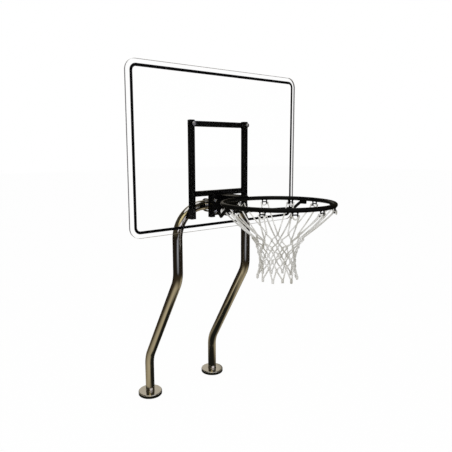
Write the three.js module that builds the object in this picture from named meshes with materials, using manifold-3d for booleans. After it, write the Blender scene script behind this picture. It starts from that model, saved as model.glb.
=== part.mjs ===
// Poolside basketball hoop: a bent stainless tube that stands on the pool deck carries a clear backboard
// on a black square-tube frame, and an 18 inch hoop with its net.
// Millimetres. +Z is up, X runs along the board, and the hoop looks towards -Y, over the water.
// The origin is on the deck, midway between the two legs.
import * as THREE from "three";
import { mergeVertices } from "three/addons/utils/BufferGeometryUtils.js";
import Module from "manifold-3d";

const wasm = await Module();
wasm.setup();

// General clearances
const GAP = 0.3; // between two pieces that touch
const OVERRUN = 5; // how far a cutting tool runs past what it cuts
const SAME_PLACE = 0.01; // stations of a path closer than this are one

// Support tube
const TUBE_DIAMETER = 48.3;
const TUBE_WALL = 3.7;
const LEG_SPACING = 438; // centre to centre
const LEG_SETBACK = 305; // how far the top stands in front of the feet
const LOWER_BEND_HEIGHT = 216; // where the leg's centre line starts to lean
const UPPER_BEND_HEIGHT = 722; // where it turns upright again
const TOP_TUBE_HEIGHT = 1080; // centre line of the level top
const LEAN_BEND_RADIUS = 150;
const TOP_BEND_RADIUS = 152.4;

// Escutcheons, the cover plates round the legs at deck level
const ESCUTCHEON_DIAMETER = 131;
const ESCUTCHEON_HEIGHT = 20;
const ESCUTCHEON_RIM_HEIGHT = 9;
const ESCUTCHEON_RIM_ROUND = 5;
const ESCUTCHEON_WALL = 1.8;
const ESCUTCHEON_LIP = 2.5; // height of the turned-up lip round the leg
const ESCUTCHEON_CLEARANCE = 0.5; // between the leg and the lip, on the radius

// Square-tube back frame. Rises and drops are measured from the centre line of the level top tube.
const BAR = 25.4; // outside width of the square tube
const BAR_WALL = 2;
const BAR_CORNER = 2.4;
const UPRIGHT_SPACING = 330; // centre to centre
const UPRIGHT_DROP = 56;
const UPRIGHT_RISE = 406; // to the upright's cut top end
const LOWER_BAR_RISE = 63.5; // to the lower crossbar's centre
const POST_SPACING = 96; // centre to centre, and the spacing of the U-bolts
const SADDLE_THICKNESS = 12.75; // where it is thinnest, between a post and the round tube
const SADDLE_WRAP = 7; // how far its horns reach back past the front of the round tube
const SADDLE_WIDTH = 20;
const SADDLE_HEIGHT = 40; // it fits between the two legs of its U-bolt
const PLUG_HEAD = 4.6;
const PLUG_DEPTH = 7;
const PLUG_EDGE = 1.5;
const SLEEVE_LENGTH = 49;
const SLEEVE_WALL = 1; // its front wall lies between the upright and the board
const SLEEVE_FLOOR = 2;

// Backboard
const BOARD_WIDTH = 1016;
const BOARD_HEIGHT = 762;
const BOARD_THICKNESS = 9.5;
const BOARD_CORNER = 50;
const BOARD_DROP = 112; // from the top tube's centre line to the lower edge
const STRIPE_WIDTH = 13;
const STRIPE_INSET = 19.5; // from the board's edge to the stripe's outer edge
const STRIPE_THICKNESS = 0.6;

// Hoop
const RING_INSIDE = 457.2;
const RING_BAR = 19;
const RING_RISE = 42; // from the top tube's centre line to that of the ring's bar
const RING_REACH = 381; // from the board's face to the ring's centre
const PLATE_WIDTH = 127;
const PLATE_THICKNESS = 5;
const PLATE_DROP = 44; // from the top tube's centre line to the plate's lower edge
const PLATE_CORNER = 8;
const NECK_THICKNESS = 5;
const NECK_BACK_WIDTH = 84;
const NECK_FRONT_WIDTH = 66;
const WEB_SPACING = 29; // outside to outside of the two gusset webs
const WEB_THICKNESS = 4;
const WEB_BACK_DEPTH = 84;
const WEB_FRONT_DEPTH = 17;
const BRACE_BAR = 14;
const BRACE_BACK_SPREAD = 48; // between the two braces where they meet the plate
const BRACE_BEND_SPREAD = 444; // between the two low bends
const BRACE_BEND_REACH = 268; // from the board's face to the low bends
const BRACE_BEND_DROP = 48; // from the ring's centre line to the low bends
const BRACE_END_ANGLE = 75; // degrees round the ring from the neck
const BRACE_SEAT_LENGTH = 30; // the stretch that lies under the ring

// Net hooks, each an H of round wire under the ring whose two feet turn outwards
const HOOK_COUNT = 12;
const HOOK_WIRE = 5.5;
const HOOK_LEG_SPACING = 20;
const HOOK_DROP = 22;
const HOOK_BAR_DROP = 13; // centre of the cross wire, under the ring
const HOOK_FOOT = 7; // how far a foot reaches outwards
const HOOK_FOOT_FALL = 4;

// U-bolts, washers and nuts
const U_ROD = 9.5;
const U_ROD_TAIL = 3.3; // thread that shows past the nut
const U_WASHER_DIAMETER = 20.6;
const U_WASHER_THICKNESS = 2;
const U_NUT_ACROSS_FLATS = 14.3;
const U_NUT_HEIGHT = 8.3;
const HOLE_CLEARANCE = 0.5; // on the radius, round every bolt
const THREAD_CLEARANCE = 0.3; // on the radius, between a nut and its thread

// Board bolts at the top
const BOLT_ROD = 8;
const BOLT_HEAD_DIAMETER = 15;
const BOLT_HEAD_HEIGHT = 5;
const BOLT_WASHER_DIAMETER = 20;
const BOLT_WASHER_THICKNESS = 1.6;
const BOLT_NUT_ACROSS_FLATS = 12.7;
const BOLT_NUT_HEIGHT = 6.6;
const BOLT_TAIL = 3; // thread that shows past the nut

// Net
const NET_CORD = 6;
const NET_KNOT = 7.2; // radius of the knots along the bottom
const NET_WEAVE = 1.25; // how far each cord stands out or in where two cross
// Each row of knots, from the top: its depth under the ring's centre line, and its radius.
const NET_ROW_DEPTH = [150, 179, 210, 242, 273, 320];
const NET_ROW_RADIUS = [106, 89, 80, 76, 75, 86];

// Sides and steps of the round shapes
const TUBE_SIDES = 24;
const BORE_SIDES = 12;
const BEND_STEPS = 6;
const TOP_BEND_STEPS = 10;
const DISC_SIDES = 32;
const ROLLED_RIM_STEPS = 3;
const RING_STEPS = 60;
const RING_SIDES = 8;
const ROD_SIDES = 10;
const ROUND_SIDES = 16;
const HOLE_SIDES = 12;
const HEX_SIDES = 6;
const WIRE_SIDES = 6;
const CORD_SIDES = 4;
const CORNER_STEPS = 5;
const SMALL_CORNER_STEPS = 2;

// Places worked out from the sizes above
const tubeRadius = TUBE_DIAMETER / 2;
const tubeFront = -LEG_SETBACK - tubeRadius;
const barRear = tubeFront - SADDLE_THICKNESS - 2 * GAP;
const barMiddle = barRear - BAR / 2;
const barFront = barRear - BAR;
const boardRear = barFront - SLEEVE_WALL - 2 * GAP;
const boardFront = boardRear - BOARD_THICKNESS;
const plateBack = boardFront - GAP;
const plateFront = plateBack - PLATE_THICKNESS;
const boardMiddle = TOP_TUBE_HEIGHT - BOARD_DROP + BOARD_HEIGHT / 2;
const uprightBottom = TOP_TUBE_HEIGHT - UPRIGHT_DROP;
const uprightTop = TOP_TUBE_HEIGHT + UPRIGHT_RISE;
const boltHeight = uprightTop - BAR / 2;
const lowerBarHeight = TOP_TUBE_HEIGHT + LOWER_BAR_RISE;
const ringRadius = RING_INSIDE / 2 + RING_BAR / 2;
const ringCentreY = boardFront - RING_REACH;
const ringHeight = TOP_TUBE_HEIGHT + RING_RISE;
const ringTop = ringHeight + RING_BAR / 2;
const ringBottom = ringHeight - RING_BAR / 2;
const plateTop = ringTop + GAP + NECK_THICKNESS;
const plateBottom = TOP_TUBE_HEIGHT - PLATE_DROP;
const uBoltRadius = tubeRadius + GAP + U_ROD / 2;
const sides = [-1, 1];
const sideName = (side) => (side < 0 ? "left" : "right");

// Materials, one for each finish
const finish = (color, roughness, metalness, extra = {}) =>
  new THREE.MeshStandardMaterial({ color, roughness, metalness, ...extra });
const stainless = finish(0xb9b2a3, 0.12, 1);
const powderCoat = finish(0x16171a, 0.38, 0.1);
const blackPlastic = finish(0x1b1c1d, 0.6, 0);
const zincSteel = finish(0xc9ccd1, 0.3, 1);
const clearSheet = finish(0xf4f8f7, 0.05, 0, { transparent: true, opacity: 0.2 });
const blackFilm = finish(0x08080a, 0.45, 0);
const netCord = finish(0xf1efe8, 0.9, 0);

const hoop = new THREE.Group();

// Solids are joined and cut as closed meshes whose shared corners are merged.
function solid(geometry) {
  const bare = geometry.index ? geometry.toNonIndexed() : geometry.clone();
  for (const name of Object.keys(bare.attributes)) {
    if (name !== "position") bare.deleteAttribute(name);
  }
  const merged = mergeVertices(bare);
  return new wasm.Manifold(
    new wasm.Mesh({
      numProp: 3,
      vertProperties: merged.attributes.position.array,
      triVerts: new Uint32Array(merged.index.array),
    }),
  );
}

function geometryOf(body) {
  const mesh = body.getMesh();
  const geometry = new THREE.BufferGeometry();
  geometry.setAttribute("position", new THREE.BufferAttribute(mesh.vertProperties, 3));
  geometry.setIndex(new THREE.BufferAttribute(mesh.triVerts, 1));
  return geometry;
}

const cut = (geometry, ...tools) =>
  geometryOf(tools.reduce((body, tool) => body.subtract(solid(tool)), solid(geometry)));
const join = (...geometries) =>
  geometryOf(geometries.map(solid).reduce((body, other) => body.add(other)));

function add(name, geometry, material, x = 0, y = 0, z = 0, parent = hoop) {
  const mesh = new THREE.Mesh(geometry, material);
  mesh.name = name;
  mesh.position.set(x, y, z);
  parent.add(mesh);
  return mesh;
}

// A rectangle with rounded corners, centred on the shape's origin.
function roundedRectangle(width, height, corner, steps) {
  const shape = new THREE.Shape();
  const centres = [
    [1, 1],
    [-1, 1],
    [-1, -1],
    [1, -1],
  ];
  const points = centres.flatMap(([sx, sy], quarter) =>
    Array.from({ length: steps + 1 }, (_, i) => {
      const angle = ((quarter + i / steps) * Math.PI) / 2;
      return new THREE.Vector2(
        sx * (width / 2 - corner) + corner * Math.cos(angle),
        sy * (height / 2 - corner) + corner * Math.sin(angle),
      );
    }),
  );
  shape.setFromPoints(points);
  return shape;
}

const flat = (shape, depth) => new THREE.ExtrudeGeometry(shape, { depth, bevelEnabled: false });

// A round bar or cutting tool along Y, from one place to another on that axis.
function rodAlongY(diameter, from, to, roundSides = HOLE_SIDES) {
  const rod = new THREE.CylinderGeometry(diameter / 2, diameter / 2, Math.abs(to - from), roundSides);
  return rod.translate(0, (from + to) / 2, 0);
}
const holeTool = (diameter, depth, x, z) =>
  rodAlongY(diameter + 2 * HOLE_CLEARANCE, -depth - OVERRUN, depth + OVERRUN).translate(x, 0, z);

// A path made of chosen stations, so that straight runs cost one step and bends get theirs.
class StationPath extends THREE.Curve {
  constructor(points, tangents) {
    super();
    this.points = points;
    this.tangents = tangents;
  }
  get steps() {
    return this.points.length - 1;
  }
  pick(list, u) {
    return list[Math.round(u * this.steps)].clone();
  }
  getPointAt(u) {
    return this.pick(this.points, u);
  }
  getTangentAt(u) {
    return this.pick(this.tangents, u);
  }
}

// Runs straight between corners and turns each inner corner with an arc of its own radius, or with
// a mitre where it has no steps.
function bentPath(corners, radii, steps) {
  const points = [corners[0]];
  const tangents = [corners[1].clone().sub(corners[0]).normalize()];
  for (let i = 1; i < corners.length - 1; i++) {
    const before = corners[i].clone().sub(corners[i - 1]).normalize();
    const after = corners[i + 1].clone().sub(corners[i]).normalize();
    if (steps[i - 1] === 0) {
      points.push(corners[i]);
      tangents.push(before.add(after).normalize());
      continue;
    }
    const turn = before.angleTo(after);
    const axis = before.clone().cross(after).normalize();
    const reach = radii[i - 1] * Math.tan(turn / 2);
    const start = corners[i].clone().addScaledVector(before, -reach);
    const centre = start.clone().addScaledVector(axis.clone().cross(before), radii[i - 1]);
    for (let k = 0; k <= steps[i - 1]; k++) {
      const angle = (turn * k) / steps[i - 1];
      const station = start.clone().sub(centre).applyAxisAngle(axis, angle).add(centre);
      if (station.distanceTo(points.at(-1)) < SAME_PLACE) continue;
      points.push(station);
      tangents.push(before.clone().applyAxisAngle(axis, angle));
    }
  }
  points.push(corners.at(-1));
  tangents.push(corners.at(-1).clone().sub(corners.at(-2)).normalize());
  return new StationPath(points, tangents);
}

const circle = (radius, count) =>
  Array.from({ length: count }, (_, i) => {
    const angle = (2 * Math.PI * i) / count;
    return new THREE.Vector2(radius * Math.cos(angle), radius * Math.sin(angle));
  });

function sweep(path, radius, count, bore) {
  const section = new THREE.Shape(circle(radius, count));
  if (bore) section.holes.push(new THREE.Path(circle(bore, BORE_SIDES).reverse()));
  return new THREE.ExtrudeGeometry(section, { steps: path.steps, extrudePath: path });
}

const point = (x, y, z) => new THREE.Vector3(x, y, z);

function supportTube() {
  const half = LEG_SPACING / 2;
  const leg = (side) => [
    point(side * half, 0, 0),
    point(side * half, 0, LOWER_BEND_HEIGHT),
    point(side * half, -LEG_SETBACK, UPPER_BEND_HEIGHT),
    point(side * half, -LEG_SETBACK, TOP_TUBE_HEIGHT),
  ];
  const corners = [...leg(-1), ...leg(1).reverse()];
  const legRadii = [LEAN_BEND_RADIUS, LEAN_BEND_RADIUS, TOP_BEND_RADIUS];
  const legSteps = [BEND_STEPS, BEND_STEPS, TOP_BEND_STEPS];
  const path = bentPath(
    corners,
    [...legRadii, ...legRadii.toReversed()],
    [...legSteps, ...legSteps.toReversed()],
  );
  add("support_tube", sweep(path, tubeRadius, TUBE_SIDES, tubeRadius - TUBE_WALL), stainless);
}

// A thin spun cover: turned-up lip, sloping top and a rolled rim that stands on the deck.
function escutcheon() {
  const bore = tubeRadius + ESCUTCHEON_CLEARANCE;
  const outer = ESCUTCHEON_DIAMETER / 2;
  const wall = ESCUTCHEON_WALL;
  const shoulder = ESCUTCHEON_HEIGHT - ESCUTCHEON_LIP;
  const round = (radius, from) =>
    Array.from({ length: ROLLED_RIM_STEPS + 1 }, (_, i) => {
      const angle = (from * Math.PI) / 2 + (i * Math.PI) / 2 / ROLLED_RIM_STEPS;
      return new THREE.Vector2(
        outer - ESCUTCHEON_RIM_ROUND + radius * Math.cos(angle),
        ESCUTCHEON_RIM_HEIGHT - ESCUTCHEON_RIM_ROUND + radius * Math.sin(angle),
      );
    });
  const profile = [
    new THREE.Vector2(bore, shoulder - wall),
    ...round(ESCUTCHEON_RIM_ROUND - wall, 0).reverse(),
    new THREE.Vector2(outer - wall, 0),
    new THREE.Vector2(outer, 0),
    ...round(ESCUTCHEON_RIM_ROUND, 0),
    new THREE.Vector2(bore + wall, shoulder),
    new THREE.Vector2(bore + wall, ESCUTCHEON_HEIGHT),
    new THREE.Vector2(bore, ESCUTCHEON_HEIGHT),
  ];
  profile.push(profile[0].clone());
  return new THREE.LatheGeometry(profile, DISC_SIDES).rotateX(Math.PI / 2);
}

// Square tube along Z from 0 up, hollow and open at both ends.
function squareTube(length) {
  const section = roundedRectangle(BAR, BAR, BAR_CORNER, SMALL_CORNER_STEPS);
  const inner = BAR / 2 - BAR_WALL;
  section.holes.push(
    new THREE.Path([
      new THREE.Vector2(-inner, -inner),
      new THREE.Vector2(-inner, inner),
      new THREE.Vector2(inner, inner),
      new THREE.Vector2(inner, -inner),
    ]),
  );
  return flat(section, length);
}

// A square plug: a head with a rounded top edge, and a shank inside the tube. It points up.
function squarePlug() {
  const head = new THREE.ExtrudeGeometry(
    roundedRectangle(BAR - 2 * PLUG_EDGE, BAR - 2 * PLUG_EDGE, BAR_CORNER, SMALL_CORNER_STEPS),
    {
      depth: PLUG_HEAD - 2 * PLUG_EDGE,
      bevelThickness: PLUG_EDGE,
      bevelSize: PLUG_EDGE,
      bevelSegments: SMALL_CORNER_STEPS,
    },
  ).translate(0, 0, PLUG_EDGE);
  const shankWidth = BAR - 2 * BAR_WALL - 2 * GAP;
  const shank = new THREE.BoxGeometry(shankWidth, shankWidth, PLUG_DEPTH + PLUG_EDGE);
  return join(head, shank.translate(0, 0, (PLUG_EDGE - PLUG_DEPTH) / 2));
}

// A slip-on cup that closes the lower end of an upright, its floor at 0.
function endSleeve() {
  const width = BAR + 2 * (SLEEVE_WALL + GAP);
  const room = BAR + 2 * GAP;
  const outline = roundedRectangle(width, width, BAR_CORNER + SLEEVE_WALL, SMALL_CORNER_STEPS);
  const bore = roundedRectangle(room, room, BAR_CORNER, SMALL_CORNER_STEPS);
  return cut(flat(outline, SLEEVE_LENGTH), flat(bore, SLEEVE_LENGTH).translate(0, 0, SLEEVE_FLOOR));
}

function backFrame() {
  const uprightStart = uprightBottom + SLEEVE_FLOOR + GAP;
  const uprightBolt = holeTool(BOLT_ROD, BAR, 0, boltHeight - uprightStart);
  const crossLength = UPRIGHT_SPACING - BAR - 2 * GAP;
  const postTop = lowerBarHeight - BAR / 2 - GAP;
  const postStart = uprightBottom + PLUG_HEAD + GAP;
  const postHoles = sides.map((s) =>
    holeTool(U_ROD, BAR, 0, TOP_TUBE_HEIGHT + s * uBoltRadius - postStart),
  );
  for (const side of sides) {
    const name = sideName(side);
    const x = (side * UPRIGHT_SPACING) / 2;
    const upright = cut(squareTube(uprightTop - uprightStart), uprightBolt);
    add(name + "_upright", upright, powderCoat, x, barMiddle, uprightStart);
    add(name + "_top_plug", squarePlug(), blackPlastic, x, barMiddle, uprightTop + GAP);
    add(name + "_end_sleeve", endSleeve(), blackPlastic, x, barMiddle, uprightBottom);

    const postX = (side * POST_SPACING) / 2;
    const post = cut(squareTube(postTop - postStart), ...postHoles);
    add(name + "_post", post, powderCoat, postX, barMiddle, postStart);
    const plug = add(name + "_post_plug", squarePlug(), blackPlastic, postX, barMiddle);
    plug.rotation.x = Math.PI;
    plug.position.z = postStart - GAP;
    add(name + "_saddle", saddle(), zincSteel, postX, 0, TOP_TUBE_HEIGHT);
  }
  const crossbar = squareTube(crossLength).translate(0, 0, -crossLength / 2).rotateY(Math.PI / 2);
  add("top_crossbar", crossbar, powderCoat, 0, barMiddle, uprightTop - BAR / 2);
  add("lower_crossbar", crossbar.clone(), powderCoat, 0, barMiddle, lowerBarHeight);
}

// The block between a post and the round tube, hollowed to sit on the tube.
function saddle() {
  const front = barRear + GAP;
  const back = tubeFront + SADDLE_WRAP;
  const block = new THREE.BoxGeometry(SADDLE_WIDTH, back - front, SADDLE_HEIGHT);
  block.translate(0, (back + front) / 2, 0);
  const seat = new THREE.CylinderGeometry(tubeRadius + GAP, tubeRadius + GAP, BAR + OVERRUN, DISC_SIDES)
    .rotateZ(Math.PI / 2)
    .translate(0, -LEG_SETBACK, 0);
  return cut(block, seat);
}

// Cuts the U-bolt holes, centred between the two U-bolts at the top tube's height.
const uBoltHoles = (depth, z) =>
  sides.flatMap((sx) =>
    sides.map((sz) => holeTool(U_ROD, depth, (sx * POST_SPACING) / 2, z + sz * uBoltRadius)),
  );

function backboard() {
  const outline = roundedRectangle(BOARD_WIDTH, BOARD_HEIGHT, BOARD_CORNER, CORNER_STEPS);
  const sheet = flat(outline, BOARD_THICKNESS).rotateX(Math.PI / 2);
  const boltHoles = sides.map((s) =>
    holeTool(BOLT_ROD, BOARD_THICKNESS, (s * UPRIGHT_SPACING) / 2, boltHeight - boardMiddle),
  );
  const drilled = cut(sheet, ...boltHoles, ...uBoltHoles(BOARD_THICKNESS, TOP_TUBE_HEIGHT - boardMiddle));
  add("backboard", drilled, clearSheet, 0, boardRear, boardMiddle);

  const frameShape = (inset) =>
    roundedRectangle(BOARD_WIDTH - 2 * inset, BOARD_HEIGHT - 2 * inset, BOARD_CORNER - inset, CORNER_STEPS);
  const stripe = frameShape(STRIPE_INSET);
  stripe.holes.push(new THREE.Path(frameShape(STRIPE_INSET + STRIPE_WIDTH).getPoints().reverse()));
  const film = flat(stripe, STRIPE_THICKNESS).rotateX(Math.PI / 2);
  add("border_stripe", film, blackFilm, 0, boardFront - GAP, boardMiddle);
}

function mountingPlate() {
  const height = plateTop - plateBottom;
  const middle = plateBottom + height / 2;
  const outline = roundedRectangle(PLATE_WIDTH, height, PLATE_CORNER, CORNER_STEPS);
  const plate = flat(outline, PLATE_THICKNESS).rotateX(Math.PI / 2);
  const drilled = cut(plate, ...uBoltHoles(PLATE_THICKNESS, TOP_TUBE_HEIGHT - middle));
  add("mounting_plate", drilled, powderCoat, 0, plateBack, middle);
}

// The neck: a top plate that lies on the ring, and two webs that deepen towards the mounting plate.
function neck() {
  const back = plateFront - GAP;
  const ringInner = ringCentreY + RING_INSIDE / 2;
  const top = new THREE.Shape();
  top.moveTo(-NECK_BACK_WIDTH / 2, back);
  const reach = Math.asin(NECK_FRONT_WIDTH / RING_INSIDE);
  for (let i = 0; i <= CORNER_STEPS; i++) {
    const angle = -reach + (2 * reach * i) / CORNER_STEPS;
    top.lineTo(
      (RING_INSIDE / 2) * Math.sin(angle),
      ringInner - (RING_INSIDE / 2) * (1 - Math.cos(angle)),
    );
  }
  top.lineTo(NECK_BACK_WIDTH / 2, back);
  const topPlate = flat(top, NECK_THICKNESS).translate(0, 0, ringTop + GAP);

  const webFront = ringInner + RING_BAR + GAP;
  const webTop = ringTop + GAP + NECK_THICKNESS / 2;
  const side = new THREE.Shape([
    new THREE.Vector2(back, webTop),
    new THREE.Vector2(webFront, webTop),
    new THREE.Vector2(webFront, ringTop - WEB_FRONT_DEPTH),
    new THREE.Vector2(back, ringTop - WEB_BACK_DEPTH),
  ]);
  const web = flat(side, WEB_THICKNESS).rotateY(Math.PI / 2).rotateX(Math.PI / 2);
  const webs = sides.map((s) =>
    web.clone().translate((s * (WEB_SPACING - WEB_THICKNESS) - WEB_THICKNESS) / 2, 0, 0),
  );
  add("neck", join(topPlate, ...webs), powderCoat);
}

const ringPoint = (angle, radius, z) => {
  const turn = THREE.MathUtils.degToRad(angle);
  return point(radius * Math.sin(turn), ringCentreY + radius * Math.cos(turn), z);
};

// A bent round bar from the plate to the ring's side, cut off square to the plate's face.
function brace(side) {
  const weld = plateFront - GAP;
  const seat = ringBottom - GAP - BRACE_BAR / 2;
  const halfSeat = THREE.MathUtils.radToDeg(BRACE_SEAT_LENGTH / 2 / ringRadius);
  const start = point((side * BRACE_BACK_SPREAD) / 2, weld, plateBottom + BRACE_BAR / 2);
  const bend = point(
    (side * BRACE_BEND_SPREAD) / 2,
    boardFront - BRACE_BEND_REACH,
    ringHeight - BRACE_BEND_DROP,
  );
  const corners = [
    start.clone().sub(bend).setLength(start.distanceTo(bend) + BRACE_BAR).add(bend),
    bend,
    ringPoint(side * (BRACE_END_ANGLE - halfSeat), ringRadius, seat),
    ringPoint(side * (BRACE_END_ANGLE + halfSeat), ringRadius, seat),
  ];
  const path = bentPath(corners, [BRACE_BAR, BRACE_BAR], [BEND_STEPS / 2, BEND_STEPS / 2]);
  const waste = new THREE.BoxGeometry(PLATE_WIDTH, 2 * BRACE_BAR, 2 * BRACE_BAR);
  waste.translate(start.x, weld + BRACE_BAR, start.z);
  const bar = cut(sweep(path, BRACE_BAR / 2, ROD_SIDES), waste);
  add(sideName(side) + "_brace", bar, powderCoat);
}

// One hook: two legs with their feet turned outwards, and a cross wire. The ring's tangent is X.
function hookGeometry() {
  const footEnd = HOOK_WIRE / 2 - HOOK_DROP;
  const leg = (s) => {
    const x = (s * HOOK_LEG_SPACING) / 2;
    const corners = [
      point(x, 0, 0),
      point(x, 0, footEnd + HOOK_FOOT_FALL),
      point(x + s * HOOK_FOOT, 0, footEnd),
    ];
    return sweep(bentPath(corners, [HOOK_WIRE], [SMALL_CORNER_STEPS]), HOOK_WIRE / 2, WIRE_SIDES);
  };
  const bar = new THREE.CylinderGeometry(HOOK_WIRE / 2, HOOK_WIRE / 2, HOOK_LEG_SPACING, WIRE_SIDES)
    .rotateZ(Math.PI / 2)
    .translate(0, 0, -HOOK_BAR_DROP);
  return join(leg(-1), leg(1), bar);
}

function ringAndHooks() {
  const ring = new THREE.TorusGeometry(ringRadius, RING_BAR / 2, RING_SIDES, RING_STEPS);
  add("ring", ring, powderCoat, 0, ringCentreY, ringHeight);
  const hook = hookGeometry();
  for (let i = 0; i < HOOK_COUNT; i++) {
    const holder = new THREE.Group();
    holder.position.set(0, ringCentreY, ringBottom - GAP);
    holder.rotation.z = (-2 * Math.PI * i) / HOOK_COUNT;
    hoop.add(holder);
    add("net_hook_" + String(i + 1).padStart(2, "0"), hook.clone(), powderCoat, 0, ringRadius, 0, holder);
  }
}

function hexagon(acrossFlats, height, bore) {
  const corners = circle(acrossFlats / 2 / Math.cos(Math.PI / HEX_SIDES), HEX_SIDES);
  const shape = new THREE.Shape(corners);
  shape.holes.push(new THREE.Path(circle(bore / 2, HOLE_SIDES).reverse()));
  return flat(shape, height).rotateX(Math.PI / 2);
}

function washer(diameter, height, rod) {
  const shape = new THREE.Shape(circle(diameter / 2, ROUND_SIDES));
  shape.holes.push(new THREE.Path(circle(rod / 2 + HOLE_CLEARANCE, HOLE_SIDES).reverse()));
  return flat(shape, height).rotateX(Math.PI / 2);
}

function uBolts() {
  const washerFace = plateFront - GAP;
  const nutFace = washerFace - U_WASHER_THICKNESS - GAP;
  const rodEnd = nutFace - U_NUT_HEIGHT - U_ROD_TAIL;
  for (const side of sides) {
    const name = sideName(side);
    const x = (side * POST_SPACING) / 2;
    const corners = [
      point(0, rodEnd, uBoltRadius),
      point(0, uBoltRadius - LEG_SETBACK, uBoltRadius),
      point(0, uBoltRadius - LEG_SETBACK, -uBoltRadius),
      point(0, rodEnd, -uBoltRadius),
    ];
    const path = bentPath(corners, [uBoltRadius, uBoltRadius], [BEND_STEPS, BEND_STEPS]);
    add(name + "_u_bolt", sweep(path, U_ROD / 2, ROD_SIDES), zincSteel, x, 0, TOP_TUBE_HEIGHT);
    for (const level of sides) {
      const place = name + (level < 0 ? "_lower" : "_upper");
      const z = TOP_TUBE_HEIGHT + level * uBoltRadius;
      const ringWasher = washer(U_WASHER_DIAMETER, U_WASHER_THICKNESS, U_ROD);
      add(place + "_washer", ringWasher, zincSteel, x, washerFace, z);
      const nut = hexagon(U_NUT_ACROSS_FLATS, U_NUT_HEIGHT, U_ROD + 2 * THREAD_CLEARANCE);
      add(place + "_nut", nut, zincSteel, x, nutFace, z);
    }
  }
}

// A bolt with a domed head in front of the board, through the upright, to a nut behind it.
function boardBolts() {
  const frontWasher = boardFront - GAP;
  const head = frontWasher - BOLT_WASHER_THICKNESS - GAP;
  const rearWasher = barRear + GAP + BOLT_WASHER_THICKNESS;
  const nut = rearWasher + GAP + BOLT_NUT_HEIGHT;
  const domeSteps = 2 * SMALL_CORNER_STEPS;
  const dome = Array.from({ length: domeSteps + 1 }, (_, i) => {
    const angle = (i * Math.PI) / 2 / domeSteps;
    return new THREE.Vector2(
      (BOLT_HEAD_DIAMETER / 2) * Math.cos(angle),
      BOLT_HEAD_HEIGHT * Math.sin(angle),
    );
  });
  const tail = nut + BOLT_TAIL - head;
  const profile = [
    new THREE.Vector2(0, -tail),
    new THREE.Vector2(BOLT_ROD / 2, -tail),
    new THREE.Vector2(BOLT_ROD / 2, 0),
    ...dome,
  ];
  const bolt = new THREE.LatheGeometry(profile, HOLE_SIDES).rotateX(Math.PI);
  for (const side of sides) {
    const name = sideName(side) + "_board";
    const x = (side * UPRIGHT_SPACING) / 2;
    const ringWasher = washer(BOLT_WASHER_DIAMETER, BOLT_WASHER_THICKNESS, BOLT_ROD);
    add(name + "_bolt", bolt.clone(), zincSteel, x, head, boltHeight);
    add(name + "_front_washer", ringWasher, zincSteel, x, frontWasher, boltHeight);
    add(name + "_rear_washer", ringWasher.clone(), zincSteel, x, rearWasher, boltHeight);
    const hex = hexagon(BOLT_NUT_ACROSS_FLATS, BOLT_NUT_HEIGHT, BOLT_ROD + 2 * THREAD_CLEARANCE);
    add(name + "_nut", hex, zincSteel, x, nut, boltHeight);
  }
}

// The net: one cord for each hook. It lies behind the hook's legs, comes forward over both feet, and
// each half goes down to the bottom edge, swinging half a hook's spacing out and back, so that it meets
// a cord of the next hook in one row and its own other half in the row after.
function net() {
  const pitch = 360 / HOOK_COUNT;
  const swing = (row) => (row % 2 === 0 ? pitch / 2 : 0);
  const reach = HOOK_WIRE / 2 + GAP + NET_CORD / 2;
  const spread = HOOK_LEG_SPACING / 2 + reach;
  const hookTop = ringBottom - GAP;
  const foot = hookTop - HOOK_DROP + HOOK_WIRE / 2 + HOOK_FOOT_FALL;
  const bight = foot + NET_CORD / 2 + 2 * GAP;
  const knotAt = (row, turn, weave = 0) =>
    ringPoint(turn, NET_ROW_RADIUS[row] + weave, ringHeight - NET_ROW_DEPTH[row]);
  const pieces = [];
  for (let i = 0; i < HOOK_COUNT; i++) {
    const home = i * pitch;
    const across = point(1, 0, 0).applyAxisAngle(point(0, 0, 1), THREE.MathUtils.degToRad(-home));
    const besideHook = (side, inward, z) =>
      ringPoint(home, ringRadius - inward, z).addScaledVector(across, side * spread);
    const half = (side) => [
      besideHook(side, -reach, bight),
      besideHook(side, reach, bight),
      besideHook(side, reach, hookTop - HOOK_DROP),
      ...NET_ROW_DEPTH.map((_, row) => knotAt(row, home + side * swing(row), side * NET_WEAVE)),
    ];
    const corners = [...half(-1).reverse(), ...half(1)];
    const atHook = (k) => Math.abs(k - (corners.length - 1) / 2) < 2;
    const inner = corners.slice(1, -1).map((_, k) => k + 1);
    const path = bentPath(
      corners,
      inner.map((k) => (atHook(k) ? reach : NET_CORD)),
      inner.map((k) => (atHook(k) ? SMALL_CORNER_STEPS : 0)),
    );
    pieces.push(sweep(path, NET_CORD / 2, CORD_SIDES));
    const knot = new THREE.OctahedronGeometry(NET_KNOT, 0);
    const bottom = NET_ROW_DEPTH.length - 1;
    pieces.push(knot.translate(...knotAt(bottom, home + swing(bottom)).toArray()));
  }
  add("net", join(...pieces), netCord);
}

supportTube();
for (const side of sides) {
  add(sideName(side) + "_escutcheon", escutcheon(), stainless, (side * LEG_SPACING) / 2, 0, 0);
}
backFrame();
backboard();
mountingPlate();
neck();
ringAndHooks();
for (const side of sides) brace(side);
uBolts();
boardBolts();
net();

export default hoop;
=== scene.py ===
# %% [markdown]
# # A poolside basketball hoop
#
# The hoop stands on the deck of a pool and leans out over the water. A bent stainless tube carries a black
# frame of square tube, the frame carries a clear board, and two U-bolts clamp the ring's plate through the
# board to the tube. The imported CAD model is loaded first, as a fixed frame: it says where every piece is.
# This script then makes the surfaces that the eye sees, smooth and finished, in the same places.

# %% Load the frame
import math

import bmesh
import bpy
from mathutils import Euler, Matrix, Vector


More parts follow.
